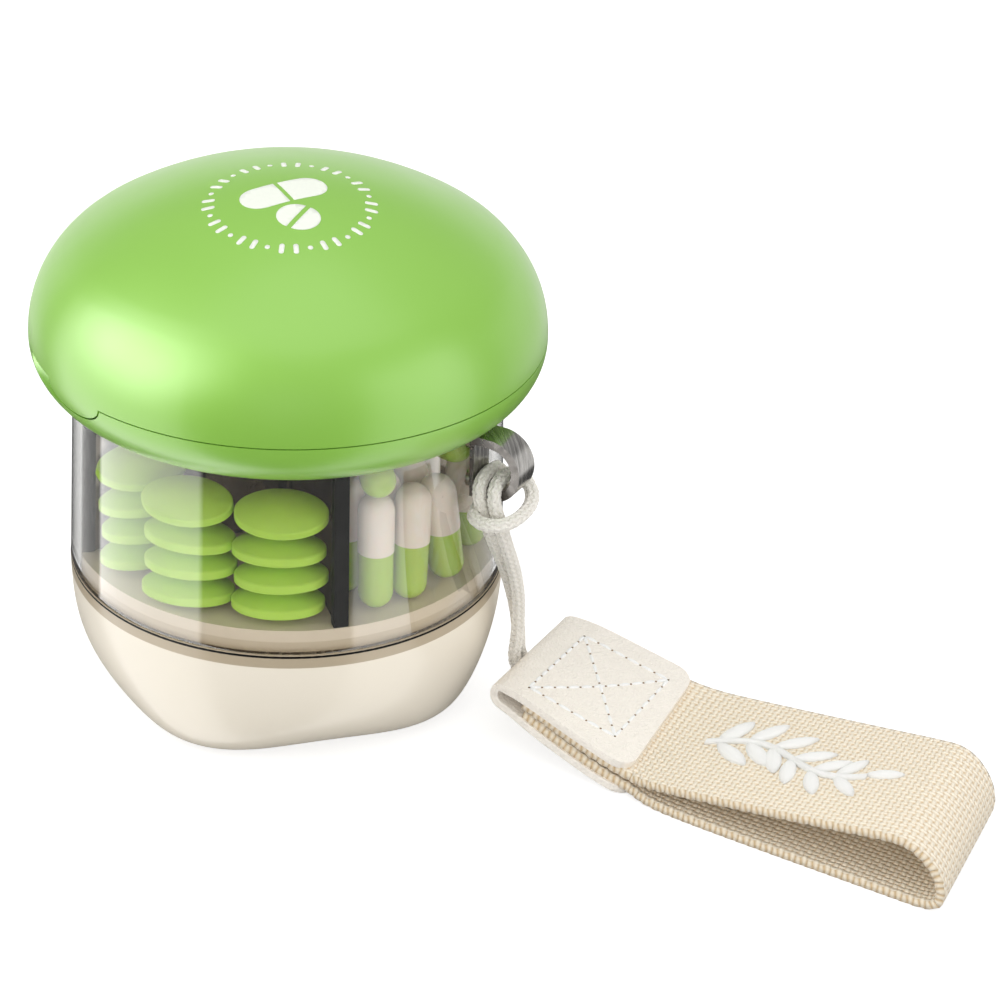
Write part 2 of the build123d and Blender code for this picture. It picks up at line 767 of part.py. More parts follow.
def hinge_pin():
    """The steel pin through the knuckles."""
    return along_x(PIN_RADIUS, PIN_LENGTH / 2, hinge_y, SEAM_Z)


# Cap, lid side


def back_cove(extra):
    """The upright hollow in the dome's back that frees the hinge."""
    plan = Pos(0, CAP_RADIUS - COVE_CENTRE_INSET) * Ellipse(COVE_HALF_WIDTH + extra, COVE_DEPTH + extra)
    return Pos(0, 0, SEAM_Z - 1) * extrude(plan, DOME_RISE)


def boss_places():
    """Centres of the two bosses that carry the blade holder."""
    middle = BLADE_FRONT_Y + BLADE_LENGTH / 2
    return ((0, middle - BOSS_SPACING / 2), (0, middle + BOSS_SPACING / 2))


def dome(inset):
    """The lid's solid form drawn in by inset: a round shoulder that runs into a flatter crown."""
    lean = degrees(atan2(crown_radius - lid_rise, shoulder_reach))
    shoulder = CenterArc((shoulder_reach, lid_rim_z), DOME_SHOULDER - inset, start_angle=0, arc_size=lean)
    crown_centre = (0, lid_top_z - crown_radius)
    crown = CenterArc(crown_centre, crown_radius - inset, start_angle=lean, arc_size=90 - lean)
    sides = Polyline((0, lid_top_z - inset), (0, lid_rim_z), (CAP_RADIUS - inset, lid_rim_z))
    return turned(shoulder, crown, sides)


def latch_hook():
    """A hook inside the lid's rim that reaches down past the tray's inner wall."""
    out = CAP_RADIUS - CAP_WALL - HOOK_INSET
    half = HOOK_WIDTH / 2
    top = SEAM_Z + HOOK_ROOT_HIGH
    hook = block(out - HOOK_THICKNESS, out, -half, half, deck_top_z + CLEAR, top)
    return hook + block(out - HOOK_THICKNESS, CAP_RADIUS - CAP_WALL / 2, -half, half, SEAM_Z + HOOK_ROOT_LOW, top)


def cap_lid():
    """The green dome with its hinge arm, lift tab, latch hooks and bosses."""
    outer = dome(0)
    lid = outer - dome(CAP_WALL)
    back = block(-beyond, beyond, CAP_RADIUS / 2, beyond, lid_rim_z, lid_top_z)
    lid += outer & back_cove(CAP_WALL) & back
    lid -= back_cove(0)
    for x, y in boss_places():
        lid += upright(BOSS_RADIUS, flange_z + FLANGE, lid_top_z, x, y) & outer
        lid -= upright(SCREW_RADIUS, flange_z + FLANGE, flange_z + FLANGE + HOLDER_SCREW_GRIP + 1, x, y)
    lid += tab_prism(0) & rim_band(TAB_THICKNESS)
    half = LID_KNUCKLE_HALF_WIDTH
    arm_start = CAP_RADIUS - COVE_CENTRE_INSET - COVE_DEPTH - CAP_WALL / 2
    lid += block(-half, half, arm_start, hinge_y, lid_rim_z, lid_rim_z + ARM_THICKNESS)
    lid += along_x(KNUCKLE_RADIUS, half, hinge_y, SEAM_Z)
    lid -= along_x(PIN_RADIUS + RUNNING, PIN_LENGTH, hinge_y, SEAM_Z)
    for angle in HOOK_ANGLES:
        lid += Rot(0, 0, angle) * latch_hook()
    return lid


def blade_holder():
    """The block that clamps the blade and screws up into the lid."""
    back = BLADE_FRONT_Y + BLADE_LENGTH
    half = HOLDER_WIDTH / 2
    holder = block(-half, half, BLADE_FRONT_Y, back, holder_z, flange_z)
    plan = Pos(0, (BLADE_FRONT_Y + back) / 2) * RectangleRounded(FLANGE_WIDTH, BLADE_LENGTH + 2, FLANGE_CORNER)
    holder += Pos(0, 0, flange_z) * extrude(plan, FLANGE)
    slot = BLADE_THICKNESS / 2
    holder -= block(-slot, slot, BLADE_FRONT_Y, back, holder_z, flange_z - SLOT_ROOF)
    for y, z in blade_pin_places():
        holder -= along_x(PIN_RADIUS, half + 1, y, z)
    for x, y in boss_places():
        holder -= upright(SCREW_RADIUS + SNUG, holder_z, flange_z + FLANGE, x, y)
        holder -= upright(SCREW_HEAD_RADIUS + SNUG, holder_z, flange_z, x, y)
    return holder


def blade_pin_places():
    """Places of the two pins that hold the blade, in Y and Z."""
    middle = BLADE_FRONT_Y + BLADE_LENGTH / 2
    z = holder_z + HOLDER_HEIGHT / 2
    return ((middle - PIN_SPACING / 2, z), (middle + PIN_SPACING / 2, z))


def cutter_blade():
    """The steel blade: a thin plate with a ground lower edge."""
    back = BLADE_FRONT_Y + BLADE_LENGTH
    half = BLADE_THICKNESS / 2
    section = Polyline(
        (-half, flange_z - SLOT_ROOF),
        (-half, blade_edge_z + BLADE_GRIND),
        (0, blade_edge_z),
        (half, blade_edge_z + BLADE_GRIND),
        (half, flange_z - SLOT_ROOF),
        close=True,
    )
    blade = Pos(0, back, 0) * extrude(Plane.XZ * make_face(section), BLADE_LENGTH)
    for y, z in blade_pin_places():
        blade -= along_x(PIN_RADIUS, 2, y, z)
    for x, y in boss_places():
        blade -= upright(SCREW_HEAD_RADIUS + CLEAR, holder_z, flange_z, x, y)
    return blade


def blade_pins():
    """Two cross pins through holder and blade."""
    return Compound([along_x(PIN_RADIUS, HOLDER_WIDTH / 2, y, z) for y, z in blade_pin_places()])


def holder_screws():
    """Two screws from below into the lid's bosses."""
    screws = []
    for x, y in boss_places():
        head_low = flange_z - SCREW_HEAD
        screw = upright(SCREW_HEAD_RADIUS, head_low, flange_z, x, y)
        screw += upright(SCREW_RADIUS, flange_z, flange_z + FLANGE + HOLDER_SCREW_GRIP, x, y)
        screws.append(screw - Pos(x, y, head_low) * cross_slot())
    return Compound(screws)


STEM = (
    base_shell,
    base_collar,
    seam_gasket,
    clear_body,
    divider_cross,
    divider_edge_strips,
    lanyard_loop,
    loop_rivets,
    lanyard_cord,
    leather_tab,
    wrist_strap,
)
CAP = (
    cap_tray,
    cutter_deck,
    deck_screws,
    cap_seal,
    pill_bed,
    bed_grips,
    hinge_pin,
    cap_lid,
    blade_holder,
    cutter_blade,
    blade_pins,
    holder_screws,
)

for make in STEM:
    export_step(make(), "parts/" + make.__name__ + ".step")
for make in CAP:
    export_step(Rot(0, 0, CAP_TURN) * make(), "parts/" + make.__name__ + ".step")
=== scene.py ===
"""Looks for the mushroom-shaped pill cutter, laid out as an add-on and run as a script.

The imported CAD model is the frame. Everything is in metres in the part's frame: +Z up, the origin
under the middle of the base, the dividers along X and Y.
"""

import math
import random

import bmesh
import bpy
from bpy.props import FloatProperty, FloatVectorProperty, IntProperty, PointerProperty
from bpy.types import Operator, Panel, PropertyGroup
from mathutils import Matrix, Vector
from mathutils.bvhtree import BVHTree


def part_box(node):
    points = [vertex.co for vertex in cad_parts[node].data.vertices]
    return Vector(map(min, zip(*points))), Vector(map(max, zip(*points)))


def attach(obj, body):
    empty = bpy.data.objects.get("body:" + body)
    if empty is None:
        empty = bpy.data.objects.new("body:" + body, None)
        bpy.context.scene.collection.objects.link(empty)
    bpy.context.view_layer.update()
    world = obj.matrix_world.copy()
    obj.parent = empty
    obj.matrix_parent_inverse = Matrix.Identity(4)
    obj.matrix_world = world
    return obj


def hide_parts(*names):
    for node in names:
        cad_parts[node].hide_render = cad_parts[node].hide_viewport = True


bl_info = {
    "name": "Pill Cutter Looks",
    "version": (1, 0, 0),
    "blender": (4, 5, 0),
    "location": "View3D > Sidebar > Pill Cutter",
    "description": "Builds the visible pieces and finishes of a pill cutter on its packed frame",
    "category": "Add Mesh",
}

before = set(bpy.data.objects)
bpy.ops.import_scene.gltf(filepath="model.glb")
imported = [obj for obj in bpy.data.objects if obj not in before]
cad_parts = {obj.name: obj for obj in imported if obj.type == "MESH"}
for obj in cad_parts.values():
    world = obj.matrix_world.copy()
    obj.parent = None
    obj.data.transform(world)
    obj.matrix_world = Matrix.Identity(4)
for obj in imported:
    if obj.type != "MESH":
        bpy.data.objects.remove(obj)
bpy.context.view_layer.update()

# Fixed places that the CAD shares
LOOP_ANGLE = math.radians(45)
STRAP_CORNER = Vector((0.0495, 0.0384, 0))
STRAP_ANGLE = math.radians(41.55)
# Heading of the photograph's camera, toward which the print on the dome is moved and turned
CAMERA_SIDE = math.radians(-14.5)
# Points nearer to each other than this are welded
WELD = 0.000002

# Cord route: radius, distance toward the front of the loop, height
CORD_ROUTE = (
    (0.0434, -0.0108, 0.0056),
    (0.0363, -0.0110, 0.0059),
    (0.0366, -0.0102, 0.0145),
    (0.0372, -0.0048, 0.0260),
    (0.0374, 0.0032, 0.0382),
    (0.0354, 0.0043, 0.0459),
    (0.0354, -0.0043, 0.0459),
    (0.0351, -0.0043, 0.0410),
    (0.0351, 0.0066, 0.0408),
    (0.0421, 0.0066, 0.0410),
    (0.0421, -0.0043, 0.0410),
    (0.0380, -0.0043, 0.0459),
    (0.0380, 0.0043, 0.0459),
    (0.0398, 0.0032, 0.0382),
    (0.0396, -0.0032, 0.0265),
    (0.0376, -0.0082, 0.0150),
    (0.0363, -0.0085, 0.0057),
    (0.0434, -0.0083, 0.0055),
)


def paint(red, green, blue):
    """An 8-bit screen colour as Blender's linear colour."""
    parts = []
    for value in (red, green, blue):
        share = value / 255
        parts.append(share / 12.92 if share <= 0.04045 else ((share + 0.055) / 1.055) ** 2.4)
    return tuple(parts)


def length(name, description, default):
    """A setting in metres."""
    return FloatProperty(
        name=name, description=description, default=default, min=0, unit="LENGTH", precision=5
    )


def colour(name, description, default):
    """A setting that holds a paint."""
    return FloatVectorProperty(
        name=name, description=description, default=default, min=0, max=1, size=3, subtype="COLOR"
    )


def power(name, description, default):
    """A setting in watts."""
    return FloatProperty(name=name, description=description, default=default, min=0, unit="POWER")


def strength(name, description, default):
    """A setting without a unit."""
    return FloatProperty(name=name, description=description, default=default, min=0)


class CapSettings(PropertyGroup):
    """Sizes and colours of the green cap and its print."""

    green: colour("Cap green", "Moulded plastic of the lid and the tray", paint(138, 194, 70))
    print_white: colour("Print white", "Ink of the ring and the capsule sign", paint(240, 244, 232))
    print_shift: length("Print shift", "How far the print's centre lies in front of the cap's axis", 0.0056)
    ring_radius: length("Ring radius", "Middle radius of the printed ring of dashes", 0.0123)
    dash_length: length("Dash length", "Length of a printed dash", 0.0020)
    dash_width: length("Dash width", "Width of a printed dash", 0.0008)
    dash_count: IntProperty(name="Dashes", description="Dashes and dots in the ring", default=36, min=6)
    ink_lift: length("Ink thickness", "Thickness of the printed layer", 0.00005)


class StemSettings(PropertyGroup):
    """Sizes and colours of the base, the beaker and what is kept in it."""

    cream: colour("Base cream", "Moulded plastic of the foot", paint(250, 241, 224))
    clear: colour("Beaker tint", "Tint of the clear beaker", paint(253, 252, 250))
    smoke: colour("Divider tint", "Smoky tint of the dividers", paint(122, 116, 106))
    frost: colour("Collar tint", "Frosted ring under the beaker", paint(198, 182, 156))
    plate: colour("Floor plate", "Frosted floor of the beaker", paint(214, 200, 178))
    strip: colour("Strip black", "Soft channel strips and gasket", paint(10, 10, 9))
    foot_radius: length("Foot radius", "Middle radius of the lobed foot at the floor", 0.0217)
    mouth_radius: length("Mouth radius", "Radius of the foot at its mouth", 0.0342)
    foot_height: length("Foot height", "Height at which the foot's curve turns upright", 0.0228)
    foot_wall: length("Foot wall", "Wall of the foot", 0.0020)
    shoulder_radius: length("Beaker shoulder", "Radius of the beaker just under the cap", 0.0334)
    beaker_wall: length("Beaker wall", "Wall of the beaker", 0.0015)
    neck_step: length("Neck step", "How far the neck is set in", 0.0005)
    neck_height: length("Neck height", "Height of the neck that the cap covers", 0.0030)
    floor_radius: length("Floor radius", "Radius of the beaker's floor plate", 0.0326)
    floor_thickness: length("Floor thickness", "Thickness of the beaker's floor plate", 0.0020)
    lobe_depth: length("Lobe depth", "How far the lobes stand out at the floor", 0.0028)
    tablet: colour("Tablet green", "Film coating of the tablets", paint(172, 210, 80))
    capsule_green: colour("Capsule green", "Lower half of each capsule", paint(154, 184, 70))
    capsule_white: colour("Capsule white", "Upper half of each capsule", paint(214, 204, 193))
    softgel: colour("Softgel amber", "Gelatin of the softgels", paint(150, 132, 112))
    tablet_length: length("Tablet length", "Long axis of a tablet", 0.0142)
    tablet_width: length("Tablet width", "Short axis of a tablet", 0.0092)
    tablet_height: length("Tablet height", "Thickness over the two crowns", 0.0046)
    tablet_band: length("Tablet band", "Height of the upright band round a tablet", 0.0016)
    capsule_length: length("Capsule length", "Whole length of a closed capsule", 0.0195)
    capsule_width: length("Capsule width", "Diameter of the capsule's upper half", 0.0056)
    softgel_length: length("Softgel length", "Whole length of a softgel", 0.0105)
    softgel_width: length("Softgel width", "Diameter of a softgel", 0.0070)


class StrapSettings(PropertyGroup):
    """Sizes and colours of the cord, the leather tab and the webbing."""

    cord_white: colour("Cord white", "Braided cord", paint(246, 242, 234))
    leather: colour("Leather cream", "Grained leather of the tab", paint(247, 240, 230))
    webbing: colour("Webbing beige", "Coarse woven strap", paint(250, 239, 219))
    # Painted shade between the yarns. Its warm tone also stands in for warm bounced light on the strap.
    weave_gap_shade: colour("Weave gaps", "Shade between the yarns", paint(214, 184, 138))
    thread: colour("Thread white", "Seams and embroidery", paint(255, 254, 251))
    cord_diameter: length("Cord diameter", "Outside diameter of the braid", 0.0022)
    cord_length: length("Cord length", "Length of the whole cord", 0.1447)
    yarn_count: IntProperty(name="Yarns", description="Yarns in the braid, half each way", default=12, min=4)
    braid_pitch: length("Braid pitch", "Length of one turn of a yarn", 0.0078)
    tab_width: length("Tab width", "Width of the leather tab", 0.0310)
    leather_thickness: length("Leather thickness", "Thickness of one layer", 0.0013)
    tab_corner: length("Tab corner", "Corner radius at the toe", 0.0035)
    stitch_length: length("Stitch length", "Thread showing between two holes", 0.0018)
    stitch_gap: length("Stitch gap", "Gap between two stitches", 0.0007)
    webbing_width: length("Webbing width", "Width of the strap", 0.0300)
    webbing_thickness: length("Webbing thickness", "Thickness of the woven strap", 0.0013)
    yarn_pitch: length("Weave pitch", "Distance between two warp yarns", 0.0010)
    sprig_length: length("Sprig length", "Length of the embroidered sprig", 0.0310)


class StageSettings(PropertyGroup):
    """Camera, lamps and floor."""

    lens: FloatProperty(name="Lens", description="Focal length in millimetres", default=144.7, min=1)
    camera_place: FloatVectorProperty(
        name="Camera place",
        description="Where the camera stands",
        default=(0.53707, -0.13928, 0.34109),
        unit="LENGTH",
    )
    camera_turn: FloatVectorProperty(
        name="Camera turn",
        description="Tilt from straight down, roll and heading",
        default=(math.radians(60.85), math.radians(2.10), math.radians(72.0)),
        subtype="EULER",
    )
    key_power: power("Key lamp", "Power of the large soft lamp", 1.25)
    fill_power: power("Fill lamp", "Power of the side lamp", 0.55)
    top_power: power("Top lamp", "Power of the overhead lamp", 2.75)
    front_power: power("Front lamp", "Power of the low front lamp", 1.2)
    sky: strength("Surround", "Strength of the even white surround", 0.88)
    dim: strength("Dark surround", "Surround that gloss shows between the cards", 0.09)
    spot: strength("Bright card", "Strength of the round card that the cap shows", 5.6)
    card: strength("Reflector cards", "Strength of the straight cards that gloss shows", 2.7)
    floor: colour("Floor", "Plain pale floor", (0.52, 0.52, 0.52))


class Nodes:
    """Short calls for the nodes of a tree."""

    def __init__(self, tree):
        self.tree = tree

    def first(self, kind):
        return next(node for node in self.tree.nodes if node.type == kind)

    def add(self, kind, **settings):
        node = self.tree.nodes.new(kind)
        for name, value in settings.items():
            setattr(node, name, value)
        return node

    def link(self, source, target):
        self.tree.links.new(source, target)

    def span(self, value, low, high, out_low=0.0, out_high=1.0):
        """A value from low to high carried over to another range."""
        node = self.add("ShaderNodeMapRange")
        ends = {"From Min": low, "From Max": high, "To Min": out_low, "To Max": out_high}
        for name, number in ends.items():
            node.inputs[name].default_value = number
        self.link(value, node.inputs["Value"])
        return node.outputs["Result"]

    def sum(self, operation, first, second=None):
        """One math step on sockets or plain numbers."""
        node = self.add("ShaderNodeMath", operation=operation)
        for socket, value in zip(node.inputs, (first, second)):
            if value is None:
                continue
            if isinstance(value, (int, float)):
                socket.default_value = value
            else:
                self.link(value, socket)
        return node.outputs["Value"]

    def vector(self, operation, value, fixed=None):
        """One vector step on a socket, with a fixed second vector where it takes one."""
        node = self.add("ShaderNodeVectorMath", operation=operation)
        self.link(value, node.inputs[0])
        if fixed is not None:
            node.inputs[1].default_value = fixed
        return node.outputs["Value" if operation == "DOT_PRODUCT" else "Vector"]


class Finish(Nodes):
    """One procedural material: its principled shader and short calls for the nodes before it."""

    # The Mix node's colour sockets, which share their names with its other sockets
    COLOUR_A = 6
    COLOUR_B = 7
    COLOUR_OUT = 2

    def __init__(self, name, base, roughness, **values):
        self.material = bpy.data.materials.new(name)
        self.material.use_nodes = True
        super().__init__(self.material.node_tree)
        self.shader = self.first("BSDF_PRINCIPLED")
        self.output = self.first("OUTPUT_MATERIAL")
        self.shader.inputs["Base Color"].default_value = (*base, 1)
        self.shader.inputs["Roughness"].default_value = roughness
        for socket, value in values.items():
            self.shader.inputs[socket.replace("_", " ")].default_value = value
        self.place = None

    def coordinates(self, output="Object"):
        if self.place is None:
            self.place = self.add("ShaderNodeTexCoord")
        return self.place.outputs[output]

    def stretched(self, scale, output="Object", turn=(0, 0, 0)):
        """Coordinates with their own scale on each axis."""
        mapping = self.add("ShaderNodeMapping")
        mapping.inputs["Scale"].default_value = scale
        mapping.inputs["Rotation"].default_value = turn
        self.link(self.coordinates(output), mapping.inputs["Vector"])
        return mapping.outputs["Vector"]

    def noise(self, scale, detail=2.0, roughness=0.5, vector=None):
        node = self.add("ShaderNodeTexNoise")
        node.inputs["Scale"].default_value = scale
        node.inputs["Detail"].default_value = detail
        node.inputs["Roughness"].default_value = roughness
        self.link(vector or self.coordinates(), node.inputs["Vector"])
        return node.outputs["Fac"]

    def cells(self, scale, feature="F1", vector=None):
        node = self.add("ShaderNodeTexVoronoi", feature=feature)
        node.inputs["Scale"].default_value = scale
        self.link(vector or self.coordinates(), node.inputs["Vector"])
        return node.outputs["Distance"]

    def colours(self, factor, low, high):
        """Base colour between two paints."""
        node = self.add("ShaderNodeMix", data_type="RGBA")
        node.inputs[self.COLOUR_A].default_value = (*low, 1)
        node.inputs[self.COLOUR_B].default_value = (*high, 1)
        self.link(factor, node.inputs["Factor"])
        self.link(node.outputs[self.COLOUR_OUT], self.shader.inputs["Base Color"])

    def roughness(self, factor, low, high):
        """Roughness that follows the middle of a noise's range."""
        self.link(self.span(factor, 0.3, 0.7, low, high), self.shader.inputs["Roughness"])

    def relief(self, height, depth, strength=1.0):
        """Bump whose height of 1 stands for depth in metres."""
        node = self.add("ShaderNodeBump")
        node.inputs["Strength"].default_value = strength
        node.inputs["Distance"].default_value = depth
        self.link(height, node.inputs["Height"])
        self.link(node.outputs["Normal"], self.shader.inputs["Normal"])


def shade(base, factor):
    """A paint made lighter or darker."""
    return tuple(min(1.0, part * factor) for part in base)


def moulded_plastic(name, base, roughness=0.36, coat=0.5, coat_roughness=0.3):
    """Satin moulded plastic: faint sink marks and a faint change of tone under a soft gloss."""
    finish = Finish(name, base, roughness, Coat_Weight=coat, Coat_Roughness=coat_roughness, IOR=1.46)
    finish.colours(finish.noise(45, 3), shade(base, 0.98), shade(base, 1.02))
    finish.roughness(finish.noise(120, 3), roughness - 0.03, roughness + 0.04)
    finish.relief(finish.noise(60, 1), 0.00002, 0.3)
    return finish.material


def soft_rubber(name, base):
    """Black elastomer with a dusty, slightly uneven face."""
    finish = Finish(name, base, 0.5, Specular_IOR_Level=0.12)
    finish.colours(finish.noise(250, 3), shade(base, 0.85), shade(base, 1.2))
    finish.roughness(finish.noise(300, 2), 0.42, 0.6)
    finish.relief(finish.noise(350, 1), 0.00001)
    return finish.material


def bare_metal(name, base, roughness, grain, stretch=(1, 1, 1)):
    """Metal with a grain of its own: round for plating, long for a ground face."""
    finish = Finish(name, base, roughness, Metallic=1.0)
    pattern = finish.noise(grain, 4, vector=finish.stretched(stretch))
    finish.colours(pattern, shade(base, 0.92), shade(base, 1.04))
    finish.roughness(pattern, roughness * 0.7, roughness * 1.4)
    finish.relief(pattern, 0.000004, 0.6)
    return finish.material


def turned_chrome_painted_reflections(name, base):
    """Plated metal with fine turned lines that run round the loop; its colour is streaked darker along them
    as painted dark reflections.
    """
    finish = Finish(name, base, 0.25, Metallic=1.0)
    across = finish.stretched((0.04, 1, 0.04), turn=(0, 0, -LOOP_ANGLE))
    lines = finish.noise(2600, 3, 0.7, across)
    # Base colour streaked dark along the turned lines: painted dark reflections. Roughness and bump carry the
    # real lines.
    finish.colours(finish.span(lines, 0.35, 0.6), shade(base, 0.55), shade(base, 1.05))
    finish.roughness(lines, 0.18, 0.32)
    finish.relief(lines, 0.00001, 0.7)
    return finish.material


def clear_plastic(name, tint, coat=0.0, roughness=0.03):
    """See-through plastic that lets the lamps reach what is behind it, polished where it has a coat."""
    finish = Finish(name, tint, roughness, IOR=1.28, Transmission_Weight=1.0)
    for socket, value in (("Coat Weight", coat), ("Coat Roughness", roughness), ("Coat IOR", 1.65)):
        finish.shader.inputs[socket].default_value = value
    finish.colours(finish.noise(30, 2), shade(tint, 0.99), tint)
    finish.roughness(finish.noise(260, 3), roughness * 0.6, roughness * 1.5)
    finish.relief(finish.noise(55, 1), 0.00003, 0.25)
    lit = finish.add("ShaderNodeBsdfTransparent")
    lit.inputs["Color"].default_value = (*shade(tint, 1.03), 1)
    rays = finish.add("ShaderNodeLightPath")
    either = finish.add("ShaderNodeMixShader")
    finish.link(rays.outputs["Is Shadow Ray"], either.inputs["Fac"])
    finish.link(finish.shader.outputs["BSDF"], either.inputs[1])
    finish.link(lit.outputs["BSDF"], either.inputs[2])
    finish.link(either.outputs["Shader"], finish.output.inputs["Surface"])
    return finish.material


def frosted_plastic(name, base, clear=0.1):
    """Milky, half see-through plastic."""
    finish = Finish(name, base, 0.3, Transmission_Weight=clear, IOR=1.46, Coat_Weight=0.2, Coat_Roughness=0.1)
    finish.colours(finish.noise(60, 2), shade(base, 0.96), shade(base, 1.04))
    finish.relief(finish.noise(50, 1), 0.00001, 0.3)
    return finish.material


def printed_ink(name, base):
    """Matte screen ink, a little thin in places."""
    finish = Finish(name, base, 0.5)
    finish.colours(finish.noise(1500, 3), shade(base, 0.93), base)
    finish.relief(finish.noise(4000, 2), 0.000006)
    return finish.material


def tablet_coat(name, base):
    """Film coating: matte, faintly speckled, with shallow orange peel."""
    finish = Finish(name, base, 0.42, Subsurface_Weight=0.04, Subsurface_Scale=0.001, Specular_IOR_Level=0.3)
    finish.colours(finish.noise(350, 3), shade(base, 0.94), shade(base, 1.05))
    finish.roughness(finish.noise(400, 2), 0.36, 0.48)
    finish.relief(finish.noise(450, 2), 0.00003, 0.5)
    return finish.material


def gelatin(name, base, clear=0.0, roughness=0.16):
    """Glossy gelatin shell."""
    finish = Finish(name, base, roughness, Transmission_Weight=clear, IOR=1.42)
    finish.shader.inputs["Subsurface Weight"].default_value = 0.25
    finish.shader.inputs["Subsurface Scale"].default_value = 0.001
    finish.colours(finish.noise(260, 3), shade(base, 0.95), shade(base, 1.05))
    finish.roughness(finish.noise(500, 2), roughness - 0.05, roughness + 0.08)
    finish.relief(finish.noise(420, 2), 0.00002, 0.5)
    return finish.material


def braided_yarn(name, base):
    """Matte synthetic yarn with fibres."""
    finish = Finish(name, base, 0.72, Sheen_Weight=0.25, Sheen_Roughness=0.5)
    finish.colours(finish.noise(2600, 4, 0.7), shade(base, 0.82), shade(base, 1.06))
    finish.relief(finish.noise(6500, 3, 0.7), 0.00005)
    return finish.material


def grained_leather(name, base):
    """Coated leather: pebble grain from cells over a softer undulation."""
    finish = Finish(name, base, 0.5, Coat_Weight=0.08, Coat_Roughness=0.4)
    finish.colours(finish.noise(330, 5, 0.6), shade(base, 0.95), shade(base, 1.04))
    pebbles = finish.sum("MULTIPLY", finish.cells(2300), 0.8)
    height = finish.sum("ADD", pebbles, finish.sum("MULTIPLY", finish.noise(900, 3), 0.6))
    finish.roughness(finish.noise(1500, 3), 0.42, 0.6)
    finish.relief(height, 0.00022, 0.9)
    return finish.material


def woven_webbing(name, base, gaps, across, along):
    """Plain weave on the strap's own UV map, with across and along yarns to a side and painted shade between
    them.
    """
    finish = Finish(name, base, 0.82, Sheen_Weight=0.2, Sheen_Roughness=0.5)
    axes = finish.add("ShaderNodeSeparateXYZ")
    finish.link(finish.stretched((along, across, 1), "UV"), axes.inputs["Vector"])

    def yarn(side, run):
        """Height of one family of yarns, which goes over and under the other."""
        crown = finish.sum("SINE", finish.sum("MULTIPLY", finish.sum("FRACT", side), math.pi))
        turn = finish.sum("MULTIPLY", finish.sum("ADD", run, finish.sum("FLOOR", side)), math.pi)
        return finish.sum("MULTIPLY", crown, finish.sum("ADD", finish.sum("SINE", turn), 1.25))

    lengthwise = yarn(axes.outputs["Y"], axes.outputs["X"])
    crosswise = yarn(axes.outputs["X"], finish.sum("ADD", axes.outputs["Y"], 1.0))
    top = finish.sum("MAXIMUM", lengthwise, crosswise)
    fibres = finish.sum("MULTIPLY", finish.noise(5200, 3), 0.16)
    height = finish.sum("ADD", finish.sum("MULTIPLY", top, 0.44), fibres)
    # Base colour runs from the shade colour in the low parts of the weave to the base on the yarn crowns:
    # painted shade between the yarns.
    finish.colours(finish.span(height, 0.1, 0.7), gaps, base)
    finish.relief(height, 0.00034, 0.9)
    return finish.material


def satin_thread(name, base, ridges):
    """Bright thread laid side by side, with the ridges across the piece's own UV map and painted shade in the
    troughs between them.
    """
    finish = Finish(name, base, 0.5, Sheen_Weight=0.3, Sheen_Roughness=0.35)
    wave = finish.add("ShaderNodeTexWave", bands_direction="X", wave_profile="SIN")
    wave.inputs["Scale"].default_value = ridges
    wave.inputs["Distortion"].default_value = 0.6
    finish.link(finish.coordinates("UV"), wave.inputs["Vector"])
    # Base colour darker in the troughs of the ridges: painted shade between the threads.
    finish.colours(wave.outputs["Fac"], shade(base, 0.92), base)
    finish.relief(wave.outputs["Fac"], 0.00007, 0.6)
    return finish.material


def new_piece(name, work, material, body, stands_for=()):
    """A finished bmesh as an object that rides on a body."""
    mesh = bpy.data.meshes.new(name)
    work.to_mesh(mesh)
    work.free()
    mesh.materials.append(material)
    piece = bpy.data.objects.new(name, mesh)
    bpy.context.scene.collection.objects.link(piece)
    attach(piece, body)
    if stands_for:
        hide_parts(*stands_for)
    return piece


def merge(work, part):
    """Moves all of a bmesh into another."""
    mesh = bpy.data.meshes.new("part")
    part.to_mesh(mesh)
    part.free()
    work.from_mesh(mesh)
    bpy.data.meshes.remove(mesh)


def curve_mesh(data):
    """The mesh of a curve, in place of the curve."""
    holder = bpy.data.objects.new(data.name, data)
    mesh = bpy.data.meshes.new_from_object(holder)
    bpy.data.objects.remove(holder)
    bpy.data.curves.remove(data)
    return mesh


def slice_across(work, axis, places):
    """Cuts a bmesh square to an axis at each place along it."""
    for place in places:
        geom = work.verts[:] + work.edges[:] + work.faces[:]
        bmesh.ops.bisect_plane(work, geom=geom, plane_co=axis * place, plane_no=axis)


def round_corners(work, corners, radius):
    """Rounds corners of a flat sheet."""
    bmesh.ops.bevel(
        work,
        geom=corners,
        offset=radius,
        offset_type="OFFSET",
        affect="VERTICES",
        segments=8,
        profile=0.5,
        material=-1,
    )


def smooth(work, crease=0.6):
    """Smooth faces with sharp edges wherever two faces meet at more than the crease angle."""
    for face in work.faces:
        face.smooth = True
    for edge in work.edges:
        edge.smooth = not edge.is_manifold or edge.calc_face_angle(0) < crease


def welded_copy(name, node, material, body, crease=0.6):
    """A CAD node as a piece of its own, with its loose triangles welded and shaded smooth."""
    work = bmesh.new()
    work.from_mesh(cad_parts[node].data)
    bmesh.ops.remove_doubles(work, verts=work.verts, dist=WELD)
    smooth(work, crease)
    return new_piece(name, work, material, body, (node,))


def refinish(node, material):
    """Gives a CAD node that stays in view a finish."""
    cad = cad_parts[node]
    cad.data.materials.clear()
    cad.data.materials.append(material)


def spun(outline, steps=48):
    """A closed surface of revolution about Z from points of radius and height."""
    work = bmesh.new()
    verts = [work.verts.new((radius, 0, z)) for radius, z in outline]
    edges = [work.edges.new(pair) for pair in zip(verts, verts[1:])]
    bmesh.ops.spin(
        work,
        geom=verts + edges,
        cent=(0, 0, 0),
        axis=(0, 0, 1),
        angle=2 * math.pi,
        steps=steps,
        use_merge=True,
    )
    bmesh.ops.remove_doubles(work, verts=work.verts, dist=WELD)
    bmesh.ops.recalc_face_normals(work, faces=work.faces)
    return work


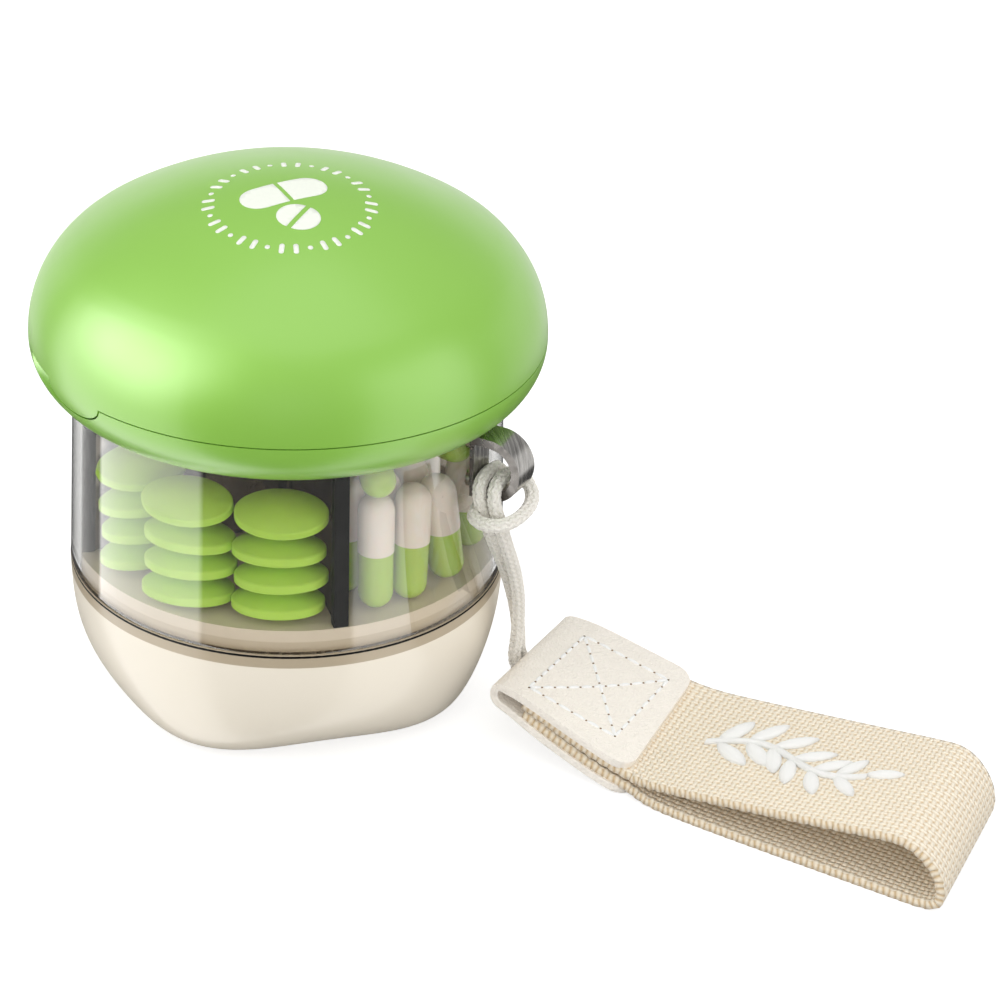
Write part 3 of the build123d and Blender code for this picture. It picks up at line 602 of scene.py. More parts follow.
def repeated(pattern, places):
    """One bmesh with a copy of a pattern at each place."""
    base = bpy.data.meshes.new("pattern")
    pattern.to_mesh(base)
    pattern.free()
    work = bmesh.new()
    for place in places:
        before = len(work.verts)
        work.from_mesh(base)
        work.verts.ensure_lookup_table()
        bmesh.ops.transform(work, matrix=place, verts=work.verts[before:])
    bpy.data.meshes.remove(base)
    return work


def side_line(points, order=3):
    """Closely spaced points on the smooth line that control points draw."""
    data = bpy.data.curves.new("line", "CURVE")
    data.dimensions = "3D"
    data.resolution_u = 24
    spline = data.splines.new("NURBS")
    spline.points.add(len(points) - 1)
    for target, point in zip(spline.points, points):
        target.co = (*point, 1)
    spline.order_u = order
    spline.use_endpoint_u = True
    mesh = curve_mesh(data)
    line = [vert.co.copy() for vert in mesh.vertices]
    bpy.data.meshes.remove(mesh)
    return line


class Track:
    """A line measured along its length."""

    def __init__(self, line):
        self.line = line
        self.marks = [0.0]
        for before, after in zip(line, line[1:]):
            self.marks.append(self.marks[-1] + (after - before).length)
        self.length = self.marks[-1]

    def at(self, distance):
        """Place and direction at a distance from the start."""
        distance = min(max(distance, 0.0), self.length)
        low = 0
        high = len(self.marks) - 1
        while high - low > 1:
            middle = (low + high) // 2
            if self.marks[middle] <= distance:
                low = middle
            else:
                high = middle
        step = self.line[high] - self.line[low]
        share = (distance - self.marks[low]) / (self.marks[high] - self.marks[low])
        return self.line[low] + step * share, step.normalized()

    def over(self, along, start, end):
        """The place between two distances at which the line passes over a distance along the strap."""
        rising = self.at(end)[0].x > self.at(start)[0].x
        for _ in range(30):
            middle = (start + end) / 2
            if (self.at(middle)[0].x < along) == rising:
                start = middle
            else:
                end = middle
        return self.at(start)[0]


def cord_point(reach, front, height):
    """A point of the cord's route in the part's frame."""
    return Vector(
        (
            reach * math.cos(LOOP_ANGLE) + front * math.sin(LOOP_ANGLE),
            reach * math.sin(LOOP_ANGLE) - front * math.cos(LOOP_ANGLE),
            height,
        )
    )


def blend(front, back, share):
    """A value between the strap's front edge and its back edge."""
    return front * (1 - share) + back * share


def strap_point(along, across, height, width=0.031, reach=0.0245):
    """A point of the strap: away from the stem, toward its back edge, and up.

    The tab lies a little askew and narrows toward its fold, and the far end of the loop leans back.
    """
    side = across / width
    if along <= 0:
        share = min(-along / reach, 1.05)
        toe = (blend(0.0026, -0.0024, side), blend(0.0012, 0.0003, side))
        fold = (blend(0.0012, -0.0015, side), blend(0.0030, -0.0015, side))
        along += blend(toe[0], fold[0], share)
        across += blend(toe[1], fold[1], share)
        height += share**2 * blend(0.0012, -0.0008, side)
    else:
        near = math.exp(-along / 0.008)
        far = min(along / 0.055, 1.1) ** 2
        along += near * blend(0.0026, -0.0024, side) - far * blend(0.0001, 0.0047, side)
        across += near * blend(0.0012, 0.0003, side) - far * blend(0.0, 0.0026, side)
    cosine = math.cos(STRAP_ANGLE)
    sine = math.sin(STRAP_ANGLE)
    return STRAP_CORNER + Vector((along * cosine - across * sine, along * sine + across * cosine, height))


class PILL_CUTTER_OT_stage(Operator):
    """Floor, surround, lamps and the camera of the photograph"""

    bl_idname = "pill_cutter.stage"
    bl_label = "Stage"

    # Lamp: place and size; its power is the setting of the same name
    LAMPS = {
        "key": ((-0.10, -0.90, 0.52), 0.7),
        "fill": ((0.60, 0.70, 0.30), 0.6),
        "top": ((0.10, 0.05, 1.15), 1.0),
        "front": ((0.92, -0.25, 0.32), 0.5),
    }
    AIM = Vector((0, 0, 0.05))
    FLOOR_SIZE = 3
    FLOOR_GLOW = 0.7
    CARD_EDGE = 1.5

    def execute(self, context):
        stage = context.scene.pill_cutter_stage
        self.floor(stage)
        self.surround(context, stage)
        lamps = {}
        for name, (place, size) in self.LAMPS.items():
            lamps[name] = self.lamp(name + "_lamp", place, size, getattr(stage, name + "_power"))
        lamps["front"].visible_glossy = False
        camera = bpy.data.cameras.new("camera")
        camera.lens = stage.lens
        camera.sensor_width = 36
        camera.clip_start = 0.01
        holder = bpy.data.objects.new("camera", camera)
        tilt, roll, heading = stage.camera_turn
        turn = Matrix.Rotation(heading, 4, "Z") @ Matrix.Rotation(tilt, 4, "X")
        turn = turn @ Matrix.Rotation(roll, 4, "Z")
        holder.matrix_world = Matrix.Translation(stage.camera_place) @ turn
        context.scene.collection.objects.link(holder)
        context.scene.camera = holder
        context.scene.view_settings.view_transform = "Standard"
        return {"FINISHED"}

    def floor(self, stage):
        """A pale floor that the camera and clear pieces see as white, apart from shadows."""
        work = bmesh.new()
        bmesh.ops.create_grid(work, x_segments=1, y_segments=1, size=self.FLOOR_SIZE)
        mesh = bpy.data.meshes.new("floor")
        work.to_mesh(mesh)
        work.free()
        floor = bpy.data.objects.new("floor", mesh)
        bpy.context.scene.collection.objects.link(floor)
        floor.visible_glossy = False
        finish = Finish("floor_card", stage.floor, 0.9, Specular_IOR_Level=0.1)
        finish.colours(finish.noise(400, 2), shade(stage.floor, 0.99), stage.floor)
        glow = finish.add("ShaderNodeEmission")
        glow.inputs["Color"].default_value = (1, 1, 1, 1)
        rays = finish.add("ShaderNodeLightPath")
        seen = finish.sum("MAXIMUM", rays.outputs["Is Camera Ray"], rays.outputs["Is Transmission Ray"])
        finish.link(finish.sum("MULTIPLY", seen, self.FLOOR_GLOW), glow.inputs["Strength"])
        both = finish.add("ShaderNodeAddShader")
        finish.link(finish.shader.outputs["BSDF"], both.inputs[0])
        finish.link(glow.outputs["Emission"], both.inputs[1])
        finish.link(both.outputs["Shader"], finish.output.inputs["Surface"])
        mesh.materials.append(finish.material)

    def surround(self, context, stage):
        """White to the camera, even light for matte faces, bright cards for glossy ones."""
        world = bpy.data.worlds.new("surround")
        world.use_nodes = True
        nodes = Nodes(world.node_tree)
        background = nodes.first("BACKGROUND")
        background.inputs["Color"].default_value = (1, 1, 1, 1)
        rays = nodes.add("ShaderNodeLightPath").outputs
        toward = nodes.add("ShaderNodeTexCoord").outputs["Generated"]
        parts = nodes.add("ShaderNodeSeparateXYZ")
        nodes.link(toward, parts.inputs["Vector"])
        rise = parts.outputs["Z"]
        level = nodes.vector("NORMALIZE", nodes.vector("MULTIPLY", toward, (1, 1, 0)))

        def card(middle, half):
            """1 within a card's span of headings in degrees, with a narrow soft edge."""
            facing = nodes.vector("DOT_PRODUCT", level, self.toward(middle, 0))
            return nodes.span(facing, cosine(half + self.CARD_EDGE), cosine(half - self.CARD_EDGE))

        def cosine(degrees):
            return math.cos(math.radians(degrees))

        sides = nodes.sum("ADD", card(-96, 35.5), nodes.sum("MULTIPLY", card(46, 26), 0.7))
        sides = nodes.sum("MULTIPLY", sides, nodes.span(rise, 0.75, 0.45))
        back = nodes.sum("MULTIPLY", card(150, 62), nodes.span(rise, -0.46, -0.38))
        back = nodes.sum("MULTIPLY", back, nodes.span(rise, 0.38, 0.22))
        cards = nodes.sum("ADD", sides, nodes.sum("MULTIPLY", back, 0.3))
        overhead = nodes.span(rise, 0.2, 0.9, 0, 0.6)
        centre = nodes.vector("DOT_PRODUCT", toward, self.toward(-88, 29))
        spot = nodes.span(centre, cosine(40), cosine(10), 0, stage.spot)
        gloss = nodes.sum("ADD", nodes.sum("MULTIPLY", cards, stage.card), stage.dim)
        gloss = nodes.sum("ADD", nodes.sum("ADD", gloss, spot), overhead)
        seen = nodes.sum("MAXIMUM", rays["Is Camera Ray"], rays["Is Transmission Ray"])
        extra = nodes.sum("MULTIPLY", rays["Is Glossy Ray"], nodes.sum("SUBTRACT", gloss, stage.sky))
        lit = nodes.sum("MULTIPLY", nodes.sum("SUBTRACT", 1.0, seen), nodes.sum("ADD", extra, stage.sky))
        nodes.link(nodes.sum("ADD", seen, lit), background.inputs["Strength"])
        context.scene.world = world

    def toward(self, heading, rise):
        """Unit vector at a heading and a rise in degrees."""
        level = math.cos(math.radians(rise))
        turn = math.radians(heading)
        return (level * math.cos(turn), level * math.sin(turn), math.sin(math.radians(rise)))

    def lamp(self, name, place, size, power):
        data = bpy.data.lights.new(name, "AREA")
        data.shape = "SQUARE"
        data.size = size
        data.energy = power
        holder = bpy.data.objects.new(name, data)
        aim = self.AIM - Vector(place)
        holder.matrix_world = Matrix.Translation(place) @ aim.to_track_quat("-Z", "Y").to_matrix().to_4x4()
        bpy.context.scene.collection.objects.link(holder)
        return holder


class PILL_CUTTER_OT_cord(Operator):
    """Braided cord hitched through the chrome loop"""

    bl_idname = "pill_cutter.cord"
    bl_label = "Cord"

    # Parts of the cord's diameter: a yarn's radius, its distance from the middle and how far it weaves
    YARN_RADIUS = 0.15
    YARN_MIDDLE = 0.31
    YARN_SWING = 0.07
    # Parts of a yarn's radius: the core that fills the braid
    CORE = 1.9
    # Distance to each side over which the cord's direction is read
    LOOK = 0.0006

    def execute(self, context):
        strap = context.scene.pill_cutter_strap
        route = [cord_point(*point) for point in CORD_ROUTE]
        track = Track(side_line(route))
        yarns = bpy.data.curves.new("yarns", "CURVE")
        yarns.dimensions = "3D"
        yarns.bevel_depth = self.YARN_RADIUS * strap.cord_diameter
        yarns.bevel_resolution = 1
        yarns.use_fill_caps = True
        step = strap.braid_pitch / (2.5 * strap.yarn_count)
        count = int(track.length / step)
        frames = self.frames(track, count)
        for yarn in range(strap.yarn_count):
            self.lay_yarn(yarns, frames, strap, yarn)
        middles = [place for place, _, _, _ in frames]
        core = yarns.splines.new("POLY")
        core.points.add(len(middles[::6]) - 1)
        for target, place in zip(core.points, middles[::6]):
            target.co = (*place, 1)
            target.radius = self.CORE
        mesh = curve_mesh(yarns)
        work = bmesh.new()
        work.from_mesh(mesh)
        bpy.data.meshes.remove(mesh)
        smooth(work, 1.0)
        material = braided_yarn("cord_yarn", strap.cord_white)
        cord = new_piece("lanyard_braid", work, material, "stem", ("lanyard_cord",))
        return {"FINISHED"}

    def frames(self, track, count):
        """Places along the cord with two directions across it that don't twist."""
        frames = []
        _, tangent = track.at(0)
        across = tangent.orthogonal().normalized()
        for index in range(count + 1):
            distance = track.length * index / count
            place, _ = track.at(distance)
            ahead, _ = track.at(distance + self.LOOK)
            behind, _ = track.at(distance - self.LOOK)
            tangent = (ahead - behind).normalized()
            across = (across - tangent * across.dot(tangent)).normalized()
            frames.append((place, across, tangent.cross(across), distance))
        return frames

    def lay_yarn(self, yarns, frames, strap, yarn):
        """One yarn: a helix that dips under and rises over those that wind the other way."""
        ways = strap.yarn_count // 2
        way = 1 if yarn < ways else -1
        start = 2 * math.pi * (yarn % ways) / ways
        middle = self.YARN_MIDDLE * strap.cord_diameter
        swing = self.YARN_SWING * strap.cord_diameter
        spline = yarns.splines.new("POLY")
        spline.points.add(len(frames) - 1)
        for target, (place, across, beside, distance) in zip(spline.points, frames):
            turn = 2 * math.pi * distance / strap.braid_pitch
            angle = way * turn + start
            lift = middle + way * swing * math.cos(ways * turn + math.pi / 2)
            out = across * math.cos(angle) + beside * math.sin(angle)
            target.co = (*(place + out * lift), 1)


class PILL_CUTTER_OT_cap(Operator):
    """Green lid and tray with the print on the dome"""

    bl_idname = "pill_cutter.cap"
    bl_label = "Cap"

    # Width of the strips that let the flat print follow the dome
    SLICE = 0.001

    def execute(self, context):
        cap = context.scene.pill_cutter_cap
        green = moulded_plastic("cap_green", cap.green, coat=0.8, coat_roughness=0.31)
        lid = welded_copy("cap_dome", "cap_lid", green, "lid")
        welded_copy("cap_bowl", "cap_tray", green, "cap")
        self.print_sign(cap, lid)
        return {"FINISHED"}

    def print_sign(self, cap, lid):
        """The printed ring and sign, laid on the dome from above."""
        dome = BVHTree.FromObject(lid, bpy.context.evaluated_depsgraph_get())
        work = bmesh.new()
        for index in range(cap.dash_count):
            angle = 2 * math.pi * index / cap.dash_count
            spot = Matrix.Rotation(angle, 4, "Z") @ Matrix.Translation((cap.ring_radius, 0, 0))
            long = cap.dash_length if index % 3 else cap.dash_width
            self.rounded_bar(work, spot, long, cap.dash_width)
        self.capsule_sign(work, cap)
        for axis in (Vector((1, 0, 0)), Vector((0, 1, 0))):
            slice_across(work, axis, [step * self.SLICE for step in range(-15, 16)])
        side = Vector((math.cos(CAMERA_SIDE), math.sin(CAMERA_SIDE), 0))
        for vert in work.verts:
            above = vert.co + side * cap.print_shift + Vector((0, 0, 0.2))
            hit, normal, _, _ = dome.ray_cast(above, Vector((0, 0, -1)))
            vert.co = hit + normal * cap.ink_lift
        smooth(work, 1.0)
        ink = printed_ink("cap_ink", cap.print_white)
        sign = new_piece("cap_print", work, ink, "lid")
        layer = sign.modifiers.new("layer", "SOLIDIFY")
        layer.thickness = cap.ink_lift
        layer.offset = -0.6

    def rounded_bar(self, work, spot, long, wide, round_ends=(True, True)):
        """A flat bar with round ends, its length along X."""
        bar = bmesh.new()
        bmesh.ops.create_grid(bar, x_segments=1, y_segments=1, size=0.5)
        bmesh.ops.scale(bar, vec=(max(long, wide * 1.001), wide, 1), verts=bar.verts)
        corners = [v for v in bar.verts if round_ends[v.co.x > 0]]
        round_corners(bar, corners, wide * 0.49)
        bmesh.ops.transform(bar, matrix=spot, verts=bar.verts)
        merge(work, bar)

    def capsule_sign(self, work, cap):
        """A tilted capsule in two halves and a scored tablet beside it."""
        long, wide, gap = 0.0140, 0.0060, 0.0007
        tilt = Matrix.Rotation(CAMERA_SIDE + math.radians(116), 4, "Z")
        tilt = tilt @ Matrix.Translation((0, 0.0022, 0))
        for side in (-1, 1):
            middle = tilt @ Matrix.Translation((side * (long + gap) / 4, 0, 0))
            self.rounded_bar(work, middle, (long - gap) / 2, wide, (side < 0, side > 0))
        mark = tilt @ Matrix.Translation((-0.0010, -0.0072, 0))
        mark = mark @ Matrix.Rotation(math.radians(35), 4, "Z")
        for side in (-1, 1):
            turn = Matrix.Rotation(math.pi / 2 * side, 4, "Z")
            self.half_disc(work, mark @ turn @ Matrix.Translation((0.0004, 0, 0)), 0.0030)

    def half_disc(self, work, spot, radius):
        """A flat half disc, its straight side along Y."""
        disc = bmesh.new()
        bmesh.ops.create_circle(disc, cap_ends=True, radius=radius, segments=32)
        geom = disc.verts[:] + disc.edges[:] + disc.faces[:]
        bmesh.ops.bisect_plane(disc, geom=geom, plane_co=(0, 0, 0), plane_no=(1, 0, 0), clear_inner=True)
        bmesh.ops.transform(disc, matrix=spot, verts=disc.verts)
        merge(work, disc)


class PILL_CUTTER_OT_cutter(Operator):
    """Deck, pill seat, blade and hinge inside the cap"""

    bl_idname = "pill_cutter.cutter"
    bl_label = "Cutter"

    def execute(self, context):
        cream = moulded_plastic("deck_cream", paint(222, 211, 190), 0.42)
        white = moulded_plastic("seat_white", paint(232, 232, 226), 0.42)
        steel = bare_metal("blade_steel", (0.62, 0.63, 0.64), 0.24, 900, (1, 0.06, 1))
        bolts = bare_metal("screw_steel", (0.55, 0.55, 0.56), 0.32, 1600)
        rubber = soft_rubber("grip_rubber", paint(60, 62, 60))
        seal = gelatin("seal_silicone", paint(226, 226, 220), 0.35, 0.32)
        refinish("cutter_deck", cream)
        for node in ("pill_bed", "blade_holder"):
            refinish(node, white)
        refinish("cutter_blade", steel)
        for node in ("deck_screws", "hinge_pin", "blade_pins", "holder_screws"):
            refinish(node, bolts)
        refinish("bed_grips", rubber)
        refinish("cap_seal", seal)
        return {"FINISHED"}


class PILL_CUTTER_OT_stem(Operator):
    """Cream foot, clear collar and beaker, dividers and their strips"""

    bl_idname = "pill_cutter.stem"
    bl_label = "Stem"

    # Air between the floor plate and the dividers
    CLEAR = 0.00001
    # Lobes: inside this radius the foot's floor stays round, and they fade upward by this power
    ROUND_MIDDLE = 0.012
    LOBE_FADE = 3.9
    # Power of the curve by which the foot swells from the floor to its mouth
    SWELL = 2.33
    # Mouth of the foot: its step outward, the step's depth and the depth at which the curve ends
    STEP_OUT = 0.0005
    STEP_DEPTH = 0.0043
    CURVE_END = 0.0045

    def execute(self, context):
        stem = context.scene.pill_cutter_stem
        cream = moulded_plastic("base_cream", stem.cream, 0.4, 0.3, 0.15)
        clear = clear_plastic("beaker_clear", stem.clear)
        polished = clear_plastic("beaker_polished", stem.clear, 1.0)
        smoke = clear_plastic("divider_smoke", stem.smoke)
        collar = frosted_plastic("collar_frosted", stem.frost)
        black = soft_rubber("strip_black", stem.strip)
        chrome = turned_chrome_painted_reflections("loop_chrome", (0.62, 0.60, 0.57))
        new_piece("foot", self.foot(stem), cream, "stem", ("base_shell",))
        welded_copy("foot_collar", "base_collar", collar, "stem")
        beaker = new_piece("beaker", self.beaker(stem), clear, "stem", ("clear_body",))
        beaker.data.materials.append(polished)
        for face in beaker.data.polygons:
            face.material_index = int(face.normal.dot(face.center) > 0.5 * stem.shoulder_radius)
        plate = bmesh.new()
        radius = stem.floor_radius
        thick = stem.floor_thickness
        bmesh.ops.create_cone(
            plate, cap_ends=True, segments=128, radius1=radius, radius2=radius, depth=thick
        )
        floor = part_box("divider_cross")[0].z
        bmesh.ops.translate(plate, vec=(0, 0, floor - thick / 2 - self.CLEAR), verts=plate.verts)
        smooth(plate)
        frosted = frosted_plastic("floor_frosted", stem.plate)
        new_piece("beaker_floor", plate, frosted, "stem")
        welded_copy("divider", "divider_cross", smoke, "stem")
        loop = welded_copy("strap_loop", "lanyard_loop", chrome, "stem")
        # Faces square to the loop's axis get a much darker metal than the rest of the chrome: a painted dim
        # reflection, so they don't show the bright surround.
        loop.data.materials.append(bare_metal("loop_face", (0.16, 0.15, 0.14), 0.3, 900))
        axis = Vector((math.sin(LOOP_ANGLE), -math.cos(LOOP_ANGLE), 0))
        for face in loop.data.polygons:
            face.material_index = int(abs(face.normal.dot(axis)) > 0.9)
        welded_copy("strap_loop_rivets", "loop_rivets", chrome, "stem")
        refinish("seam_gasket", frosted_plastic("gasket_web", stem.frost, 0.1))
        low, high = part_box("seam_gasket")
        bead = self.seam(high.x, low.z, high.z)
        smooth(bead, 1.0)
        new_piece("seam_bead", bead, black, "stem")
        refinish("divider_edge_strips", black)
        return {"FINISHED"}

    def seam(self, rim, low, high):
        """The round-edged bead that stands a little proud of the gasket."""
        edge = 0.0001
        back = rim - edge
        outline = [(back, low), (rim, low + edge), (rim + 0.00006, (low + high) / 2)]
        outline += [(rim, high - edge), (back, high), (back, low)]
        return spun(outline, 160)

    def beaker(self, stem):
        """The clear wall: tapered, stepped in at the neck, with softened edges."""
        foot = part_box("seam_gasket")[1].z
        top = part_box("clear_body")[1].z
        shoulder = top - stem.neck_height
        wall = stem.beaker_wall
        low = stem.mouth_radius
        high = stem.shoulder_radius
        neck = high - stem.neck_step
        edge = 0.0003
        outside = [(low - edge, foot), (low, foot + edge)]
        inside = []
        for share in (0.02, 0.05, 0.25, 0.5, 0.75, 0.95, 0.98):
            z = foot + (shoulder - foot) * share
            outside.append((low + (high - low) * share, z))
            inside.append((low - wall + (high - low) * share, z))
        outside += [(high, shoulder - edge), (high - edge, shoulder)]
        upper = [(neck, shoulder), (neck, top - edge), (neck - edge, top), (high - wall, top)]
        start = [(low - wall, foot)]
        work = spun(start + outside + upper + inside[::-1] + start, 160)
        smooth(work, 0.9)
        return work

    def foot(self, stem):
        """The four-lobed cup, as smooth as the curve behind it."""
        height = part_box("base_shell")[1].z
        steps = 40
        outside = []
        for step in range(steps + 1):
            z = height * (1 - math.cos(math.pi / 2 * step / steps))
            outside.append((self.swell(stem, height, step / steps), z))
        wall = stem.foot_wall
        inside = [(radius - wall, z) for radius, z in outside if wall < z < height - self.CURVE_END]
        mouth = inside[-1][0] + self.STEP_OUT
        rim = [(mouth, height), (mouth, height - self.STEP_DEPTH)]
        outline = [(0, 0)] + outside + rim + inside[::-1] + [(0, wall)]
        work = spun(outline, 160)
        for vert in work.verts:
            radius = math.hypot(vert.co.x, vert.co.y)
            if radius > self.ROUND_MIDDLE:
                turn = math.atan2(vert.co.y, vert.co.x) - LOOP_ANGLE
                share = min(vert.co.z / stem.foot_height, 1.0)
                lobe = stem.lobe_depth * (1 - share) ** self.LOBE_FADE * math.cos(4 * turn)
                vert.co.x *= (radius + lobe) / radius
                vert.co.y *= (radius + lobe) / radius
        smooth(work, 0.7)
        return work

    def swell(self, stem, height, step):
        """Radius of the foot without its lobes."""
        share = height * (1 - math.cos(math.pi / 2 * step)) / stem.foot_height
        bulge = (1 - (1 - share) ** self.SWELL) ** (1 / self.SWELL)
        return stem.foot_radius + (stem.mouth_radius - stem.foot_radius) * bulge


class PILL_CUTTER_OT_tablets(Operator):
    """Stacks of oval tablets in the front left compartment"""

    bl_idname = "pill_cutter.tablets"
    bl_label = "Tablets"

    # Stack: middle in X and Y and turn about Z
    STACKS = (
        ((0.0264, -0.0080), -14.0),
        ((0.0190, -0.0201), -30.0),
        ((0.0063, -0.0241), 15.0),
    )
    LEVELS = 4
    # How far a tablet may lie off its stack: lean and turn in degrees, and drift
    LEAN = 1.5
    TURN = 6
    DRIFT = 0.0003
    # The top tablet's lean in degrees and how far that lifts it
    TOP_LEAN = 20
    TOP_LIFT = 0.0012
    # Power that sets how flat the crowns are, and the size of the soft edge
    CROWN = 1.9
    EDGE = 0.00022

    def execute(self, context):
        stem = context.scene.pill_cutter_stem
        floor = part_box("divider_cross")[0].z
        chance = random.Random(4)
        places = []
        for (x, y), turn in self.STACKS:
            for level in range(self.LEVELS):
                height = floor + stem.tablet_height * (level + 0.5)
                lean = self.spread(chance, self.LEAN)
                heading = Matrix.Rotation(math.radians(turn + 90 + self.spread(chance, self.TURN)), 4, "Z")
                drift = Vector((self.spread(chance, self.DRIFT), self.spread(chance, self.DRIFT), 0))
                tilt = Matrix.Rotation(math.radians(lean), 4, "Y")
                if level == self.LEVELS - 1:
                    tilt = Matrix.Rotation(math.radians(self.TOP_LEAN), 4, "X")
                    height += self.TOP_LIFT
                places.append(Matrix.Translation(Vector((x, y, height)) + drift) @ heading @ tilt)
        work = repeated(self.tablet(stem), places)
        smooth(work, 0.35)
        new_piece("tablets", work, tablet_coat("tablet_green", stem.tablet), "stem")
        return {"FINISHED"}

    def spread(self, chance, reach):
        return chance.uniform(-reach, reach)

    def tablet(self, stem):
        """An oval tablet: two shallow crowns and an upright band with soft edges."""
        reach = stem.tablet_length / 2
        band = stem.tablet_band / 2
        crown = stem.tablet_height / 2 - band
        edge = self.EDGE
        upper = []
        for step in range(11):
            share = step / 10
            upper.append(((reach - edge) * share, band + crown * (1 - share**self.CROWN)))
        lower = [(radius, -z) for radius, z in reversed(upper)]
        pill = spun(upper + [(reach, band - edge), (reach, edge - band)] + lower, 56)
        bmesh.ops.scale(pill, vec=(1, stem.tablet_width / stem.tablet_length, 1), verts=pill.verts)
        return pill


class PILL_CUTTER_OT_capsules(Operator):
    """Two-part capsules in the right compartment and softgels at the back left"""

    bl_idname = "pill_cutter.capsules"
    bl_label = "Capsules"

    # Lower and upper point of each capsule's axis; the lower end is the green one
    CAPSULES = (
        ((0.0273, 0.0066, 0.0293), (0.0273, 0.0067, 0.0432)),
        ((0.0215, 0.0036, 0.0293), (0.0215, 0.0036, 0.0432)),
        ((0.0258, 0.0124, 0.0293), (0.0256, 0.0128, 0.0432)),
        ((0.0212, 0.0195, 0.0293), (0.0232, 0.0172, 0.0430)),
        ((0.0125, 0.0258, 0.0293), (0.0168, 0.0234, 0.0424)),
        ((0.0206, 0.0093, 0.0293), (0.0205, 0.0095, 0.0432)),
        ((0.0178, 0.0150, 0.0293), (0.0175, 0.0148, 0.0432)),
        ((0.0150, 0.0040, 0.0293), (0.0150, 0.0041, 0.0432)),
        ((0.0145, 0.0097, 0.0293), (0.0140, 0.0098, 0.0432)),
        ((0.0120, 0.0163, 0.0293), (0.0116, 0.0158, 0.0432)),
        ((0.0060, 0.0205, 0.0293), (0.0064, 0.0200, 0.0432)),
        ((0.0285, 0.0064, 0.0492), (0.0150, 0.0078, 0.0502)),
        ((0.0200, 0.0204, 0.0490), (0.0098, 0.0120, 0.0500)),
    )
    # The lower half's diameter as a part of the upper one's, and how far it reaches into it
    NARROW = 0.955
    OVERLAP = 0.0008
    # Middle of each softgel and its turn about Z
    SOFTGELS = (
        ((-0.0072, -0.0262, 0.0302), 10),
        ((-0.0070, -0.0258, 0.0373), -25),
        ((-0.0074, -0.0260, 0.0444), 30),
        ((-0.0165, -0.0215, 0.0302), 60),
        ((-0.0160, -0.0213, 0.0373), 35),
        ((-0.0105, -0.0160, 0.0302), 100),
    )

    def execute(self, context):
        stem = context.scene.pill_cutter_stem
        wide = stem.capsule_width / 2
        narrow = wide * self.NARROW
        half = stem.capsule_length / 2
        places = [self.stand(Vector(low), Vector(high)) for low, high in self.CAPSULES]
        lower = repeated(self.shell(narrow, -half, self.OVERLAP), places)
        upper = repeated(self.shell(wide, half, 0.0), places)
        smooth(lower)
        smooth(upper)
        green = gelatin("capsule_green", stem.capsule_green)
        white = gelatin("capsule_white", stem.capsule_white)
        new_piece("capsule_bodies", lower, green, "stem")
        new_piece("capsule_tops", upper, white, "stem")
        flat = Matrix.Rotation(math.pi / 2, 4, "Y")
        gels = []
        for middle, turn in self.SOFTGELS:
            heading = Matrix.Rotation(math.radians(turn), 4, "Z")
            gels.append(Matrix.Translation(middle) @ heading @ flat)
        softgel = repeated(self.softgel(stem), gels)
        smooth(softgel, 1.0)
        amber = gelatin("softgel_amber", stem.softgel, 0.55, 0.12)
        new_piece("softgels", softgel, amber, "stem")
        return {"FINISHED"}

    def stand(self, low, high):
        """The matrix that puts a capsule's axis through two points."""
        axis = high - low
        return Matrix.Translation((low + high) / 2) @ axis.to_track_quat("Z", "Y").to_matrix().to_4x4()

    def shell(self, radius, tip, mouth):
        """Half a capsule from its round tip to its mouth, closed there by a narrow lip."""
        side = 1 if tip > 0 else -1
        outline = []
        for step in range(9):
            angle = math.pi / 2 * step / 8
            outline.append((radius * math.sin(angle), tip - side * radius * (1 - math.cos(angle))))
        lip = 0.0001
        outline += [(radius, mouth + lip * side), (radius - lip, mouth), (0, mouth)]
        return spun(outline, 32)

    def softgel(self, stem):
        """A plump, closed ellipsoid with blunt ends."""
        reach = stem.softgel_length / 2
        radius = stem.softgel_width / 2
        outline = []
        for step in range(17):
            angle = math.pi * step / 16
            outline.append((radius * math.sin(angle) ** 0.8, reach * math.cos(angle)))
        return spun(outline, 32)


